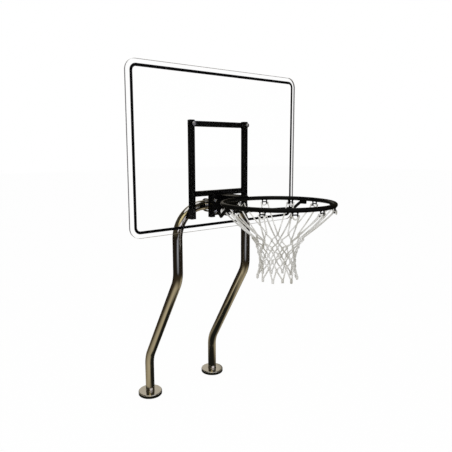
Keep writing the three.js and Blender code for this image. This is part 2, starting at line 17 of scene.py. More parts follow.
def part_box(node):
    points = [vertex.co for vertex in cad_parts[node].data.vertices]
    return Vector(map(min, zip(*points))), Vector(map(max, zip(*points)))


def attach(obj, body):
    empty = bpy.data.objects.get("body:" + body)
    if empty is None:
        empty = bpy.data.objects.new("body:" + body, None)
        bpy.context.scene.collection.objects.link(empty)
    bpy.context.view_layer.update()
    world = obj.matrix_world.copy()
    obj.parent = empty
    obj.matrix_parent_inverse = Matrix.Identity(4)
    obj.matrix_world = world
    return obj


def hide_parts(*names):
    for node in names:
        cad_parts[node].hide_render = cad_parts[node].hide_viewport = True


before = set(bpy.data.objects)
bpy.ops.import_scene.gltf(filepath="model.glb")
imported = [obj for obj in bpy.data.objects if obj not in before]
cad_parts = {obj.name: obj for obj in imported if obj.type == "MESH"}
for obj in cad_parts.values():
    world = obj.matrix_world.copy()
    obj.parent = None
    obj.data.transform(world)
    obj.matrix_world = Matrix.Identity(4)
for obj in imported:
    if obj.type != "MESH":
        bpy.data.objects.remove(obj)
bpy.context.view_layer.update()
SIDES = {"left": -1, "right": 1}
UP, FRONT, ACROSS = Vector((0, 0, 1)), Vector((0, -1, 0)), Vector((1, 0, 0))


def box_of(node):
    """The lowest corner, the highest corner and the middle of a CAD node."""
    low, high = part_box(node)
    return low, high, (low + high) / 2


print("The CAD model has", len(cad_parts), "nodes")

# %% [markdown]
# ## Camera
#
# A camera is a place, a direction and a lens. These numbers come from fitting a pinhole camera to forty
# points of the hoop in the photograph. The lens is written as a focal length in pixels of a 452 pixel wide
# picture, and Blender wants it in millimetres on a 36 mm sensor. The shift moves the picture's middle off
# the lens axis, because the photograph was cropped.

# %% Set up the camera
PICTURE = 452  # pixels each way
FOCAL_PIXELS = 460.014
AXIS_PIXELS = (212.964, 216.368)  # where the lens axis meets the picture, from the top left
CAMERA_PLACE = (-1.41569, -2.13961, 1.34500)
CAMERA_YAW, CAMERA_TILT, CAMERA_ROLL = 37.624, 8.058, -0.363  # degrees
SENSOR = 36

camera_data = bpy.data.cameras.new("photo_camera")
camera_data.sensor_width = SENSOR
camera_data.lens = FOCAL_PIXELS / PICTURE * SENSOR
camera_data.shift_x = 0.5 - AXIS_PIXELS[0] / PICTURE
camera_data.shift_y = AXIS_PIXELS[1] / PICTURE - 0.5
camera_data.clip_end = 100
camera = bpy.data.objects.new("photo_camera", camera_data)
bpy.context.scene.collection.objects.link(camera)
aim = Euler((math.radians(90 - CAMERA_TILT), 0, math.radians(-CAMERA_YAW))).to_matrix()
aim = aim @ Matrix.Rotation(math.radians(CAMERA_ROLL), 3, "Z")
camera.matrix_world = Matrix.Translation(CAMERA_PLACE) @ aim.to_4x4()
bpy.context.scene.camera = camera
print("The lens is", round(camera_data.lens, 1), "mm long")

# %% [markdown]
# ## Shader maths as plain expressions
#
# A material in Blender is a small network of nodes. Wiring sums and products by hand hides the idea, so a
# `Wire` holds one output socket, and adding or multiplying wires adds the Math nodes. `Network` makes any
# other node, first with its settings and then with what goes into its sockets, and `Finish` is the network
# of one material.


# %% Helpers for networks
class Wire:
    """One output socket of a network. Sums and products of wires add Math nodes."""

    def __init__(self, network, socket):
        self.network = network
        self.socket = socket

    def maths(self, operation, *values):
        return self.network.node("Math", {"operation": operation}, dict(enumerate(values)))

    def __add__(self, other):
        return self.maths("ADD", self, other)

    def __sub__(self, other):
        return self.maths("SUBTRACT", self, other)

    def __rsub__(self, other):
        return self.maths("SUBTRACT", other, self)

    def __mul__(self, other):
        return self.maths("MULTIPLY", self, other)

    def sine(self):
        return self.maths("SINE", self)

    def size(self):
        return self.maths("ABSOLUTE", self)

    def bigger(self, other):
        return self.maths("MAXIMUM", self, other)

    def part(self, letter):
        """The X, Y or Z of a vector."""
        return self.network.node("SeparateXYZ", {}, {"Vector": self}, letter)

    __radd__ = __add__
    __rmul__ = __mul__


class Network:
    """The nodes of a material or of the world."""

    def __init__(self, tree):
        self.nodes, self.links = tree.nodes, tree.links

    def feed(self, socket, value):
        """Links a wire to a socket, or sets the socket to a plain value."""
        if isinstance(value, Wire):
            self.links.new(value.socket, socket)
        else:
            socket.default_value = value

    def node(self, kind, settings, values, output=0):
        """Makes a node with its settings, feeds its sockets and gives one of its outputs."""
        made = self.nodes.new("ShaderNode" + kind)
        for name, value in settings.items():
            setattr(made, name, value)
        for socket, value in values.items():
            self.feed(made.inputs[socket], value)
        return Wire(self, made.outputs[output])


# %% A helper for materials
class Finish(Network):
    """A material: its constants go straight on the Principled shader, and patterns are wired to it."""

    def __init__(self, name, constants):
        self.slot = name
        self.material = bpy.data.materials.new(name)
        self.material.use_nodes = True
        super().__init__(self.material.node_tree)
        self.shader = self.nodes["Principled BSDF"]
        for socket, value in constants.items():
            self.give(socket, value)
        print("New finish:", name)

    def give(self, socket, value):
        """Feeds a socket of the shader."""
        self.feed(self.shader.inputs[socket], value)

    def place(self, stretch=(1, 1, 1)):
        """The point on the piece in metres, stretched along X, Y and Z."""
        here = self.node("TexCoord", {}, {}, "Object")
        return self.node("Mapping", {}, {"Vector": here, "Scale": stretch})

    def noise(self, scale, detail, stretch=(1, 1, 1)):
        """Cloudy variation between 0 and 1, with about `scale` blotches to the metre."""
        values = {"Vector": self.place(stretch), "Scale": scale, "Detail": detail}
        return self.node("TexNoise", {}, values, "Fac")

    def blend(self, dark, light, amount):
        """A colour between two others. A Mix node takes colours in sockets 6 and 7 and gives one in 2."""
        return self.node("Mix", {"data_type": "RGBA"}, {"Factor": amount, 6: dark, 7: light}, 2)

    def relief(self, height, depth, strength):
        """Bumps `depth` metres deep."""
        values = {"Height": height, "Distance": depth, "Strength": strength}
        self.give("Normal", self.node("Bump", {}, values))


# %% [markdown]
# ## Finish: polished stainless steel
#
# The tube and its cover plates are buffed stainless steel. Nearly all of what we see on it is the world
# around it, so the base colour is only the slightly warm tint of steel, and the detail lies in how sharp
# the reflections are. Buffing leaves faint streaks along the tube and the odd dull patch where water dried.

# %% Polished stainless steel
steel = Finish("polished_stainless", {"Metallic": 1.0})
streaks = steel.noise(260, 4, (1, 1, 0.06))
dried = steel.noise(14, 5)
steel.give("Base Color", steel.blend((0.66, 0.63, 0.575, 1), (0.73, 0.705, 0.66, 1), dried))
steel.give("Roughness", 0.055 + 0.05 * streaks + 0.05 * dried)
steel.relief(streaks, 0.00002, 0.12)

# %% [markdown]
# ## Finish: black powder coat
#
# Powder coat is baked on as dust, so it has a fine orange-peel skin about a millimetre across that breaks
# its highlights. It is nearly black, with a low gloss: in a white room a black piece reflects white all
# over, and a shader's usual 4 % would already read as grey. In chlorinated air it chalks a little, which a
# large, faint noise stands for.

# %% Black powder coat
black = Finish("black_powder_coat", {"Specular IOR Level": 0.08})
peel = black.noise(900, 2)
chalk = black.noise(9, 4)
black.give("Base Color", black.blend((0.0018, 0.0018, 0.0018, 1), (0.0044, 0.0044, 0.0041, 1), chalk))
black.give("Roughness", 0.24 + 0.08 * chalk + 0.04 * peel)
black.relief(peel, 0.00005, 0.08)

# %% [markdown]
# ## Finish: moulded black plastic
#
# The square plugs and the slip-on sleeves are moulded. Their skin is matter than the powder coat and has
# the fine grain of a spark-eroded mould.

# %% Moulded plastic
plastic = Finish("black_plastic", {"Specular IOR Level": 0.12})
grain = plastic.noise(1700, 2)
bloom = plastic.noise(25, 3)
plastic.give("Base Color", plastic.blend((0.005, 0.005, 0.0055, 1), (0.012, 0.012, 0.0125, 1), bloom))
plastic.give("Roughness", 0.5 + 0.12 * grain)
plastic.relief(grain, 0.00005, 0.6)

# %% [markdown]
# ## Finish: zinc plate
#
# U-bolts, saddles, nuts and washers are bright zinc over steel. Plating dulls threads and hexagons a little
# and unevenly, so the roughness carries the pattern and the colour stays close to a cool grey.

# %% Zinc-plated steel
zinc = Finish("zinc_steel", {"Metallic": 1.0})
spangle = zinc.noise(420, 3)
zinc.give("Base Color", zinc.blend((0.56, 0.58, 0.63, 1), (0.74, 0.76, 0.81, 1), spangle))
zinc.give("Roughness", 0.12 + 0.08 * spangle)
zinc.relief(spangle, 0.00003, 0.15)

# %% [markdown]
# ## Finish: clear sheet
#
# The board is clear acrylic. Against a white wall you see hardly anything of it, only its edges, where the
# light that runs through the sheet comes out grey. A real glass shader would show that too, but it is slow
# and few other programs can read it. So the two faces are all but transparent, a trace more solid where you
# look along them, and the edge is a second material: nearly black down the two sides, where you look into
# the sheet, and a dim warm grey along the top and bottom. It turns from one to the other round the corners,
# by the height in Object coordinates. The faces are dark and hardly glossy, because a bright veil that only
# one ray in a thousand meets would leave a white dot wherever that one ray lands.

# %% Clear sheet
clear_look = {"Roughness": 0.04, "Specular IOR Level": 0.03, "Base Color": (0.01, 0.011, 0.011, 1)}
clear = Finish("clear_sheet", clear_look)
grazing = clear.node("LayerWeight", {}, {"Blend": 0.25}, "Facing")
haze = clear.noise(6, 4)
clear.give("Alpha", 0.0005 + 0.0015 * haze + 0.05 * grazing * grazing)

# %% The sheet's edge
BOARD_CORNER = 0.050

board_low, board_high, board_middle = box_of("backboard")
edge = Finish("clear_sheet_edge", {"Specular IOR Level": 0.2})
corner_starts = board_high.z - board_middle.z - BOARD_CORNER
from_middle = (edge.place().part("Z") - board_middle.z).size()
into_corner = ((from_middle - corner_starts) * (1 / BOARD_CORNER)).bigger(0.0)
level = into_corner * into_corner
polish = edge.noise(40, 3)
edge.give("Base Color", edge.blend((0.035, 0.03, 0.028, 1), (0.16, 0.135, 0.105, 1), level))
edge.give("Alpha", 0.86 + 0.08 * level)
edge.give("Roughness", 0.15 + 0.2 * polish)

# %% [markdown]
# ## Finish: black film
#
# The stripe round the board is thin black film stuck on its face. It is flatter than the powder coat, and
# small bubbles and lifting keep it from looking like paint.

# %% Black film
film = Finish("black_film", {"Specular IOR Level": 0.05})
lifting = film.noise(60, 4)
film.give("Base Color", film.blend((0.001, 0.001, 0.0011, 1), (0.003, 0.003, 0.0033, 1), lifting))
film.give("Roughness", 0.36 + 0.16 * lifting)
film.relief(lifting, 0.00015, 0.3)

# %% [markdown]
# ## Finish: braided cord
#
# The net is white braided cord. On a braid, strands run round the cord both ways and cross, so two sets of
# slanted ridges show. The cord's UV map gives how far along the cord a point is, and how far round. Adding
# the two gives one slant and subtracting gives the other, and the higher of the two ridges wins.

# %% Braided cord
CORD_PLAITS = 4  # ridges round the cord, each way
CORD_TURNS = 150  # turns of the braid along one strand of the net

cord = Finish("net_cord", {"Specular IOR Level": 0.25})
uv = cord.node("TexCoord", {}, {}, "UV")
along = uv.part("X") * (2 * math.pi * CORD_TURNS)
around = uv.part("Y") * (2 * math.pi * CORD_PLAITS)
braid = (along + around).sine().bigger((along - around).sine())
# Large clouds of darker and paler cord: partly soiling of the cord, partly painted shade that stands in for
# strands lying in shadow.
soil_and_shade = cord.noise(16, 4)
fluff = cord.noise(1500, 2)
worn_and_shaded = cord.blend((0.44, 0.425, 0.375, 1), (0.84, 0.835, 0.82, 1), 2.4 * soil_and_shade - 0.7)
# The grooves between the braid's ridges are painted darker: painted shade in the creases of the cord.
cord.give("Base Color", cord.blend((0.24, 0.23, 0.20, 1), worn_and_shaded, 0.84 + 0.16 * braid))
cord.give("Roughness", 0.74 + 0.2 * fluff)
cord.relief(braid + 0.3 * fluff, 0.0003, 0.5)

# %% [markdown]
# ## Working by hand, in code
#
# Blender's operators act on what is selected. `only` selects objects, and `choose` selects parts of the
# mesh in edit mode, by a test on each vertex, edge or face, as you would by clicking. `start` adds a
# primitive whose place is already in its mesh, so that the object itself stays at the origin. `ready` ends
# a piece: it is shaded smooth up to a sharp angle, gets its finish, stands for its CAD nodes and rides on a
# CAD body.

# %% Helpers for edit mode
WELD_SHUT = 1e-6  # vertices closer than this are one


def only(*pieces):
    """Selects these objects and no others. The first is the active one."""
    bpy.ops.object.select_all(action="DESELECT")
    for piece in pieces:
        piece.select_set(True)
    bpy.context.view_layer.objects.active = pieces[0]


def edit(piece):
    """Opens a piece with all of it selected. In face mode a bare circle can't be extruded."""
    only(piece)
    bpy.ops.object.mode_set(mode="EDIT")
    bpy.ops.mesh.select_mode(type="VERT")
    bpy.ops.mesh.select_all(action="SELECT")


def choose(kind, test):
    """Selects the VERT, EDGE or FACE elements that pass a test."""
    shape = bmesh.from_edit_mesh(bpy.context.edit_object.data)
    bpy.ops.mesh.select_mode(type=kind)
    bpy.ops.mesh.select_all(action="DESELECT")
    for element in {"VERT": shape.verts, "EDGE": shape.edges, "FACE": shape.faces}[kind]:
        if test(element):
            element.select_set(True)
    shape.select_flush_mode()
    bmesh.update_edit_mesh(bpy.context.edit_object.data)


def extrude(step):
    """Extrudes what is selected by a step."""
    bpy.ops.mesh.extrude_region_move(TRANSFORM_OT_translate={"value": step})


def close_up(fill=True, doubles=WELD_SHUT):
    """Merges doubles, fills what is open if asked, points every face outwards and leaves edit mode."""
    bpy.ops.mesh.select_all(action="SELECT")
    bpy.ops.mesh.remove_doubles(threshold=doubles)
    if fill:
        bpy.ops.mesh.fill_holes(sides=0)
        bpy.ops.mesh.select_all(action="SELECT")
    bpy.ops.mesh.normals_make_consistent(inside=False)
    bpy.ops.object.mode_set(mode="OBJECT")


# %% Helpers for whole pieces
SHARP = math.radians(32)


def facing(axis):
    """The turn that points a primitive's own Z along an axis."""
    return Vector(axis).to_track_quat("Z", "Y").to_euler()


def start(name, primitive, **settings):
    """Adds a primitive, with its place in its mesh."""
    bpy.ops.object.select_all(action="DESELECT")
    primitive(**settings)
    piece = bpy.context.object
    piece.name = piece.data.name = name
    bpy.ops.object.transform_apply(location=True, rotation=True, scale=True)
    return piece


def start_circle(name, place, axis, radius, around):
    """Adds a circle of vertices round an axis and opens it."""
    settings = {"vertices": around, "radius": radius, "location": place, "rotation": facing(axis)}
    piece = start(name, bpy.ops.mesh.primitive_circle_add, **settings)
    edit(piece)
    return piece


def modify(piece, kind, **settings):
    """Adds a modifier and applies it."""
    only(piece)
    modifier = piece.modifiers.new(kind.lower(), kind)
    for name, value in settings.items():
        setattr(modifier, name, value)
    bpy.ops.object.modifier_apply(modifier=modifier.name)


def soften(piece, width, steps=2, angle=50):
    """Rounds the sharp edges, which no real piece is without."""
    settings = {"limit_method": "ANGLE", "angle_limit": math.radians(angle)}
    modify(piece, "BEVEL", width=width, segments=steps, **settings)


def joined(name, *pieces):
    """Several meshes made into one piece."""
    only(*pieces)
    bpy.ops.object.join()
    pieces[0].name = pieces[0].data.name = name
    return pieces[0]


def ready(piece, finish, nodes, body="stand"):
    """Shades, paints and hands over a piece that stands for CAD nodes."""
    only(piece)
    bpy.ops.object.shade_smooth_by_angle(angle=SHARP)
    if not piece.data.materials:
        piece.data.materials.append(finish.material)
    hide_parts(*nodes)
    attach(piece, body)
    print(piece.name, "has", len(piece.data.polygons), "faces")


# %% [markdown]
# ## Bent round bar
#
# Most of this object is round bar or tube that runs straight, bends, and runs straight again. By hand you
# would draw a circle, extrude it along the straight run, spin it round the bend, and go on. `bent_bar` does
# just that for a list of corners. Two short stretches at the ends of each straight run keep its shading
# straight, because otherwise the reflection in a long face leans towards the bend. With no window, spin
# turns the other way round its axis than a right-handed screw, so its angle has a minus sign.

# %% A helper for bent bar
HOLD = 0.004  # the short stretches beside a bend


def run_to(here, there):
    """Extrudes a straight run, with a short stretch at each end."""
    run = there - here
    stretches = [HOLD, run.length - 2 * HOLD, HOLD] if run.length > 4 * HOLD else [run.length]
    for stretch in stretches:
        extrude(run.normalized() * stretch)


def bent_bar(name, corners, bends, radius, around=24, steps=10, capped=True):
    """A bar through corners, each inner corner rounded to its bend radius."""
    corners = [Vector(corner) for corner in corners]
    piece = start_circle(name, corners[0], corners[1] - corners[0], radius, around)
    here = corners[0]
    for corner, after, bend in zip(corners[1:], corners[2:], bends):
        inward, outward = (corner - here).normalized(), (after - corner).normalized()
        turn = inward.angle(outward)
        axis = inward.cross(outward).normalized()
        reach = bend * math.tan(turn / 2)
        centre = corner - inward * reach + axis.cross(inward) * bend
        run_to(here, corner - inward * reach)
        bpy.ops.mesh.spin(steps=steps, angle=-turn, center=centre, axis=axis)
        here = corner + outward * reach
    run_to(here, corners[-1])
    close_up(fill=capped)
    return piece


# %% [markdown]
# ## The support tube
#
# On the real hoop this is one length of 1.9 inch handrail tube with six bends. Each leg enters a socket in
# the deck, leans out over the water, turns upright again and bends over into the level top. It is drawn as
# an open skin, and Solidify gives it the wall inwards, so that the ends under the cover plates are hollow.

# %% Make the support tube
TUBE_RADIUS, TUBE_WALL = 0.0483 / 2, 0.0037
LEG_SPACING, LEG_SETBACK = 0.438, 0.305
LOWER_BEND, UPPER_BEND, TOP_TUBE = 0.216, 0.722, 1.080  # heights
LEAN_BEND, TOP_BEND = 0.150, 0.1524  # bend radii of the tube's middle

foot = LEG_SPACING / 2
leg = [(0, 0), (0, LOWER_BEND), (-LEG_SETBACK, UPPER_BEND), (-LEG_SETBACK, TOP_TUBE)]
route = [(-foot, y, z) for y, z in leg] + [(foot, y, z) for y, z in reversed(leg)]
bends = [LEAN_BEND, LEAN_BEND, TOP_BEND, TOP_BEND, LEAN_BEND, LEAN_BEND]
tube = bent_bar("bent_tube", route, bends, TUBE_RADIUS, around=64, steps=20, capped=False)
modify(tube, "SOLIDIFY", thickness=TUBE_WALL, offset=-1)
ready(tube, steel, ["support_tube"])

# %% [markdown]
# ## Rings stacked on an axis
#
# Washers, bolt heads and cover plates are turned pieces. One way is to spin a profile. Another, used here,
# is to start from a circle and extrude it again and again, moving and resizing it each time: the list of
# rings, each a radius and a height, then reads like the drawing of the piece.


# %% A helper for turned pieces
def turned(name, place, axis, rings, around=48):
    """Rings of (radius, height) stacked from a place along an axis and joined up."""
    place, axis = Vector(place), Vector(axis)
    (radius, height), *others = rings
    piece = start_circle(name, place + axis * height, axis, radius, around)
    for next_radius, next_height in others:
        extrude(axis * (next_height - height))
        growth = [next_radius / radius] * 3
        bpy.ops.transform.resize(value=growth, center_override=place + axis * next_height)
        radius, height = next_radius, next_height
    close_up()
    return piece


def arc(middle, radius, first, last, steps):
    """Points of (radius, height) on a round corner, between two angles in degrees."""
    angles = [math.radians(first + (last - first) * step / steps) for step in range(steps + 1)]
    return [(middle[0] + radius * math.cos(a), middle[1] + radius * math.sin(a)) for a in angles]


# %% [markdown]
# ## The cover plates
#
# A cover plate, or escutcheon, is pressed from thin sheet: a nearly flat top with a hole for the leg, and a
# deep rim turned down to the deck. It lies loose and slides up the leg to reach the deck anchor, so each
# one rides on its own CAD body. The profile runs over the top, down the rim and back up under it. The top
# is crowned by a millimetre, because a mirror that is truly flat looks like a hole in the picture.

# %% Make the cover plates
PLATE_RADIUS, PLATE_HEIGHT = 0.0655, 0.020
SHEET, RIM_ROUND, CROWN, LIP_CLEARANCE = 0.0018, 0.0045, 0.0011, 0.0005
TOP_STEPS = 6
RIM_MEETS_TOP = 87  # degrees, a little short of level because of the crown

bore = TUBE_RADIUS + LIP_CLEARANCE
rim_start = PLATE_RADIUS - RIM_ROUND
rim_middle = (rim_start, PLATE_HEIGHT - CROWN - RIM_ROUND)
lip = arc((bore + SHEET / 2, PLATE_HEIGHT - SHEET / 2), SHEET / 2, 180, 90, 4)
shares = [step / TOP_STEPS for step in range(1, TOP_STEPS)]
top = [(bore + share * (rim_start - bore), PLATE_HEIGHT - CROWN * share ** 2) for share in shares]
rim = arc(rim_middle, RIM_ROUND, RIM_MEETS_TOP, 0, 10) + [(PLATE_RADIUS, SHEET / 2)]
under = [(PLATE_RADIUS - SHEET / 4, 0), (PLATE_RADIUS - SHEET, 0)]
inside = arc(rim_middle, RIM_ROUND - SHEET, 0, RIM_MEETS_TOP, 6) + [(bore, PLATE_HEIGHT - SHEET), lip[0]]
profile = lip + top + rim + under + inside
for side, sign in SIDES.items():
    cover = turned(side + "_cover_plate", (sign * foot, 0, 0), UP, profile, around=96)
    ready(cover, steel, [side + "_escutcheon"], body=side + "_cover")

# %% [markdown]
# ## Square tube
#
# The back frame is welded from one inch square tube. A cube is stretched to the tube's box, its two end
# faces are deleted, its four long edges are bevelled into the tube's round corners, and Solidify makes the
# wall. Bolt holes are cut with a Boolean modifier, as a drill would. Every hole in this object runs from
# front to back.

# %% Helpers for square tube, drilling and touched-up blocks
BAR, BAR_WALL, BAR_CORNER = 0.0254, 0.002, 0.0024
HOLE_CLEARANCE = 0.0005
DRILL_LENGTH = 0.05
FLAT = math.radians(1)


def drill(piece, middle, rod, clearance=HOLE_CLEARANCE):
    """Cuts a hole for a rod through a place."""
    settings = {"vertices": 32, "radius": rod / 2 + clearance, "depth": DRILL_LENGTH}
    add = bpy.ops.mesh.primitive_cylinder_add
    bit = start("drill_bit", add, location=middle, rotation=facing(FRONT), **settings)
    modify(piece, "BOOLEAN", object=bit, operation="DIFFERENCE", solver="EXACT")
    bpy.data.objects.remove(bit)


def box_from(name, corner, opposite):
    """A cube stretched between two opposite corners of a box."""
    corner, opposite = Vector(corner), Vector(opposite)
    size = [abs(length) for length in opposite - corner]
    middle = (corner + opposite) / 2
    return start(name, bpy.ops.mesh.primitive_cube_add, size=1, location=middle, scale=size)


def bevel_along(axis, width):
    """Bevels the edges that run along an axis of the piece in edit mode."""
    choose("EDGE", lambda e: (e.verts[0].co - e.verts[1].co).normalized().dot(axis) ** 2 > 0.99)
    bpy.ops.mesh.bevel(offset=width, segments=6, affect="EDGES")


def square_tube(name, node, axis):
    """A square tube in the box of a CAD node."""
    piece = box_from(name, *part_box(node))
    edit(piece)
    choose("FACE", lambda f: abs(f.normal.dot(axis)) > 0.9)
    bpy.ops.mesh.delete(type="FACE")
    bevel_along(axis, BAR_CORNER)
    bpy.ops.object.mode_set(mode="OBJECT")
    modify(piece, "SOLIDIFY", thickness=BAR_WALL, offset=-1)
    return piece


def touched_up(name, node, width):
    """A CAD node's own shape, merged into clean faces, with its edges softened."""
    piece = bpy.data.objects.new(name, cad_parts[node].data.copy())
    piece.data.materials.clear()
    bpy.context.scene.collection.objects.link(piece)
    edit(piece)
    bpy.ops.mesh.remove_doubles(threshold=WELD_SHUT)
    bpy.ops.mesh.dissolve_limited(angle_limit=FLAT)
    bpy.ops.object.mode_set(mode="OBJECT")
    soften(piece, width, angle=40)
    edit(piece)
    close_up(fill=False)
    return piece


# %% [markdown]
# ## The back frame
#
# Two uprights, two crossbars and two short posts under the lower crossbar, all of the same square tube. The
# uprights take a bolt at the top, and the posts take the U-bolts. The posts' lower ends and the uprights'
# tops are closed by square plugs, and a slip-on sleeve covers each upright's lower end.

# %% Make the frame's tubes
GAP = 0.0003  # between neighbours, so that no two pieces share a face
U_ROD, BOLT_ROD = 0.0095, 0.008
U_BOLT_RISE = TUBE_RADIUS + GAP + U_ROD / 2  # from the top tube's middle to a U-bolt's leg
RIM_EDGE = 0.0003

bolt_height = box_of("left_board_bolt")[2].z
u_bolt_heights = [TOP_TUBE - U_BOLT_RISE, TOP_TUBE + U_BOLT_RISE]
for side in SIDES:
    for part, rod, heights in [("upright", BOLT_ROD, [bolt_height]), ("post", U_ROD, u_bolt_heights)]:
        piece = square_tube(f"{side}_frame_{part}", f"{side}_{part}", UP)
        middle = box_of(f"{side}_{part}")[2]
        for height in heights:
            drill(piece, (middle.x, middle.y, height), rod)
        soften(piece, RIM_EDGE)
        ready(piece, black, [f"{side}_{part}"])
for level in ["top", "lower"]:
    crossbar = square_tube(level + "_frame_crossbar", level + "_crossbar", ACROSS)
    ready(crossbar, black, [level + "_crossbar"])

# %% [markdown]
# ## Plugs and saddles
#
# A square plug has a cushion-shaped head as wide as the tube and a ribbed shank inside it. A saddle seats
# each post on the round tube, between the legs of the U-bolt: it is a plain block with a hollow, so its CAD
# shape is kept and only its edges are softened.

# %% Make the plugs and saddles
PLUG_HEAD, PLUG_EDGE, PLUG_DOME = 0.0046, 0.0015, 0.0006
SHANK_INSET, SHANK_RIBS, RIB_INSET = BAR_WALL + GAP, 3, 0.0012
SADDLE_EDGE = 0.0008


def square_plug(name, node, up):
    """A plug whose head is the part of the node's box nearest its outer end."""
    low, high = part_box(node)
    root, tip = (low.z, high.z) if up > 0 else (high.z, low.z)
    seat = tip - up * PLUG_HEAD
    head = box_from(name, (low.x, low.y, tip), (high.x, high.y, seat))
    edit(head)
    bevel_along(UP, BAR_CORNER)
    choose("FACE", lambda f: f.normal.z * up > 0.9)
    bpy.ops.mesh.bevel(offset=PLUG_EDGE, segments=5, affect="EDGES")
    choose("FACE", lambda f: f.normal.z * up > 0.999)
    bpy.ops.mesh.inset(thickness=BAR / 5)
    bpy.ops.transform.translate(value=(0, 0, up * PLUG_DOME))
    bpy.ops.object.mode_set(mode="OBJECT")
    rib = (root - seat) / (2 * SHANK_RIBS)
    blocks = [head]
    for number in range(2 * SHANK_RIBS):
        inset = SHANK_INSET + RIB_INSET * (number % 2 == 0)
        corner = (low.x + inset, low.y + inset, seat + number * rib)
        opposite = (high.x - inset, high.y - inset, seat + (number + 1) * rib)
        blocks.append(box_from("shank", corner, opposite))
    return joined(name, *blocks)


for side in SIDES:
    for place, up in [("top", 1), ("post", -1)]:
        node = f"{side}_{place}_plug"
        ready(square_plug(f"{side}_{place}_cap", node, up), plastic, [node])
    saddle = touched_up(side + "_tube_saddle", side + "_saddle", SADDLE_EDGE)
    ready(saddle, zinc, [side + "_saddle"])

# %% [markdown]
# ## The slip-on sleeves
#
# A sleeve is a soft cup with a rounded floor that is pushed over the upright's cut end. It is a box without
# its top, bevelled down its corners and round its floor, and Solidify gives it its thin wall.

# %% Make the sleeves
SLEEVE_WALL, SLEEVE_ROUND, SLEEVE_MOUTH = 0.001, 0.0014, 0.00035

for side in SIDES:
    sleeve = box_from(side + "_slip_on_sleeve", *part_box(side + "_end_sleeve"))
    edit(sleeve)
    choose("FACE", lambda f: f.normal.z > 0.9)
    bpy.ops.mesh.delete(type="FACE")
    bevel_along(UP, BAR_CORNER + SLEEVE_WALL)
    choose("FACE", lambda f: f.normal.z < -0.9)
    bpy.ops.mesh.bevel(offset=SLEEVE_ROUND, segments=5, affect="EDGES")
    bpy.ops.object.mode_set(mode="OBJECT")
    modify(sleeve, "SOLIDIFY", thickness=SLEEVE_WALL, offset=-1)
    soften(sleeve, SLEEVE_MOUTH, angle=60)
    ready(sleeve, plastic, [side + "_end_sleeve"])

# %% [markdown]
# ## Flat panels with rounded corners
#
# The board, its stripe and the mounting plate are all cut from sheet. A plane is turned to face along Y and
# given its width and height, its four corner vertices are bevelled into arcs, and the face is extruded to
# the sheet's thickness.


# %% A helper for panels
def panel(name, node, corner, steps=10, border=None):
    """A sheet with rounded corners in the box of a CAD node, or only its border of a given width."""
    low, high, middle = box_of(node)
    middle.y = high.y
    add = bpy.ops.mesh.primitive_plane_add
    piece = start(name, add, size=1, location=middle, rotation=(math.pi / 2, 0, 0))
    edit(piece)
    bpy.ops.transform.resize(value=(high.x - low.x, 1, high.z - low.z), center_override=middle)
    bpy.ops.mesh.bevel(offset=corner, segments=steps, affect="VERTICES")
    choose("FACE", lambda f: True)
    if border:
        bpy.ops.mesh.inset(thickness=border)
        bpy.ops.mesh.delete(type="FACE")
        choose("FACE", lambda f: True)
    extrude(FRONT * (high.y - low.y))
    close_up(fill=False)
    return piece


# %% [markdown]
# ## The board and its stripe
#
# The clear board is a 40 by 30 inch sheet with polished, slightly rounded edges. It is drilled for two
# bolts at the top and for the U-bolts' four legs. Only the faces that look along Y keep the clear material,
# and all the others are cut edges.

# %% Make the board and the stripe
BOARD_EDGE = 0.0008
STRIPE_INSET, STRIPE_WIDTH = 0.0195, 0.013
POST_SPACING = 0.096

upright_x = box_of("right_upright")[2].x
bolt_holes = [(sign * upright_x, bolt_height, BOLT_ROD) for sign in SIDES.values()]
u_bolt_holes = [(sign * POST_SPACING / 2, z, U_ROD) for sign in SIDES.values() for z in u_bolt_heights]

board = panel("clear_board", "backboard", BOARD_CORNER, steps=16)
for x, height, rod in bolt_holes + u_bolt_holes:
    drill(board, (x, board_low.y, height), rod)
soften(board, BOARD_EDGE)
board.data.materials.append(clear.material)
board.data.materials.append(edge.material)
for face in board.data.polygons:
    face.material_index = 0 if abs(face.normal.y) > 0.99 else 1
ready(board, clear, ["backboard"])

stripe_corner = BOARD_CORNER - STRIPE_INSET
stripe = panel("board_stripe", "border_stripe", stripe_corner, steps=12, border=STRIPE_WIDTH)
ready(stripe, film, ["border_stripe"])

# %% [markdown]
# ## The mounting plate and the neck
#
# The ring's plate is quarter-inch steel with four holes. The neck that carries the ring is a flat top plate
# over two gussets. It is welded up from flat plate, so its CAD shape is right, and softened edges are all
# that it lacks. The bevel also rounds the inner corners, where the real one has its welds.

# %% Make the plate and the neck
PLATE_CORNER, PLATE_EDGE, NECK_EDGE = 0.008, 0.0007, 0.0007

plate = panel("hoop_plate", "mounting_plate", PLATE_CORNER)
plate_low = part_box("mounting_plate")[0]
for x, height, rod in u_bolt_holes:
    drill(plate, (x, plate_low.y, height), rod)
soften(plate, PLATE_EDGE)
ready(plate, black, ["mounting_plate"])
ready(touched_up("hoop_neck", "neck", NECK_EDGE), black, ["neck"])

# %% [markdown]
# ## The ring
#
# Three-quarter inch round bar, rolled to the regulation 18 inches inside. A circle of the bar's section is
# spun once round the ring's middle. A closed ring has no ends, so its last copy falls on the first, and
# merging the doubles closes the seam.

# %% Make the ring
RING_INSIDE = 0.4572
RING_STEPS = 144
SPIN_ERROR = 1e-5  # how far the last copy may miss the first

ring_low, ring_high, ring_middle = box_of("ring")
bar_radius = (ring_high.z - ring_low.z) / 2
ring_radius = RING_INSIDE / 2 + bar_radius


def ring_point(turn, radius, height):
    """A point on a circle round the ring's axis, turned by degrees from the board's side."""
    turn = math.radians(turn)
    across, back = radius * math.sin(turn), radius * math.cos(turn)
    return Vector((ring_middle.x + across, ring_middle.y + back, height))


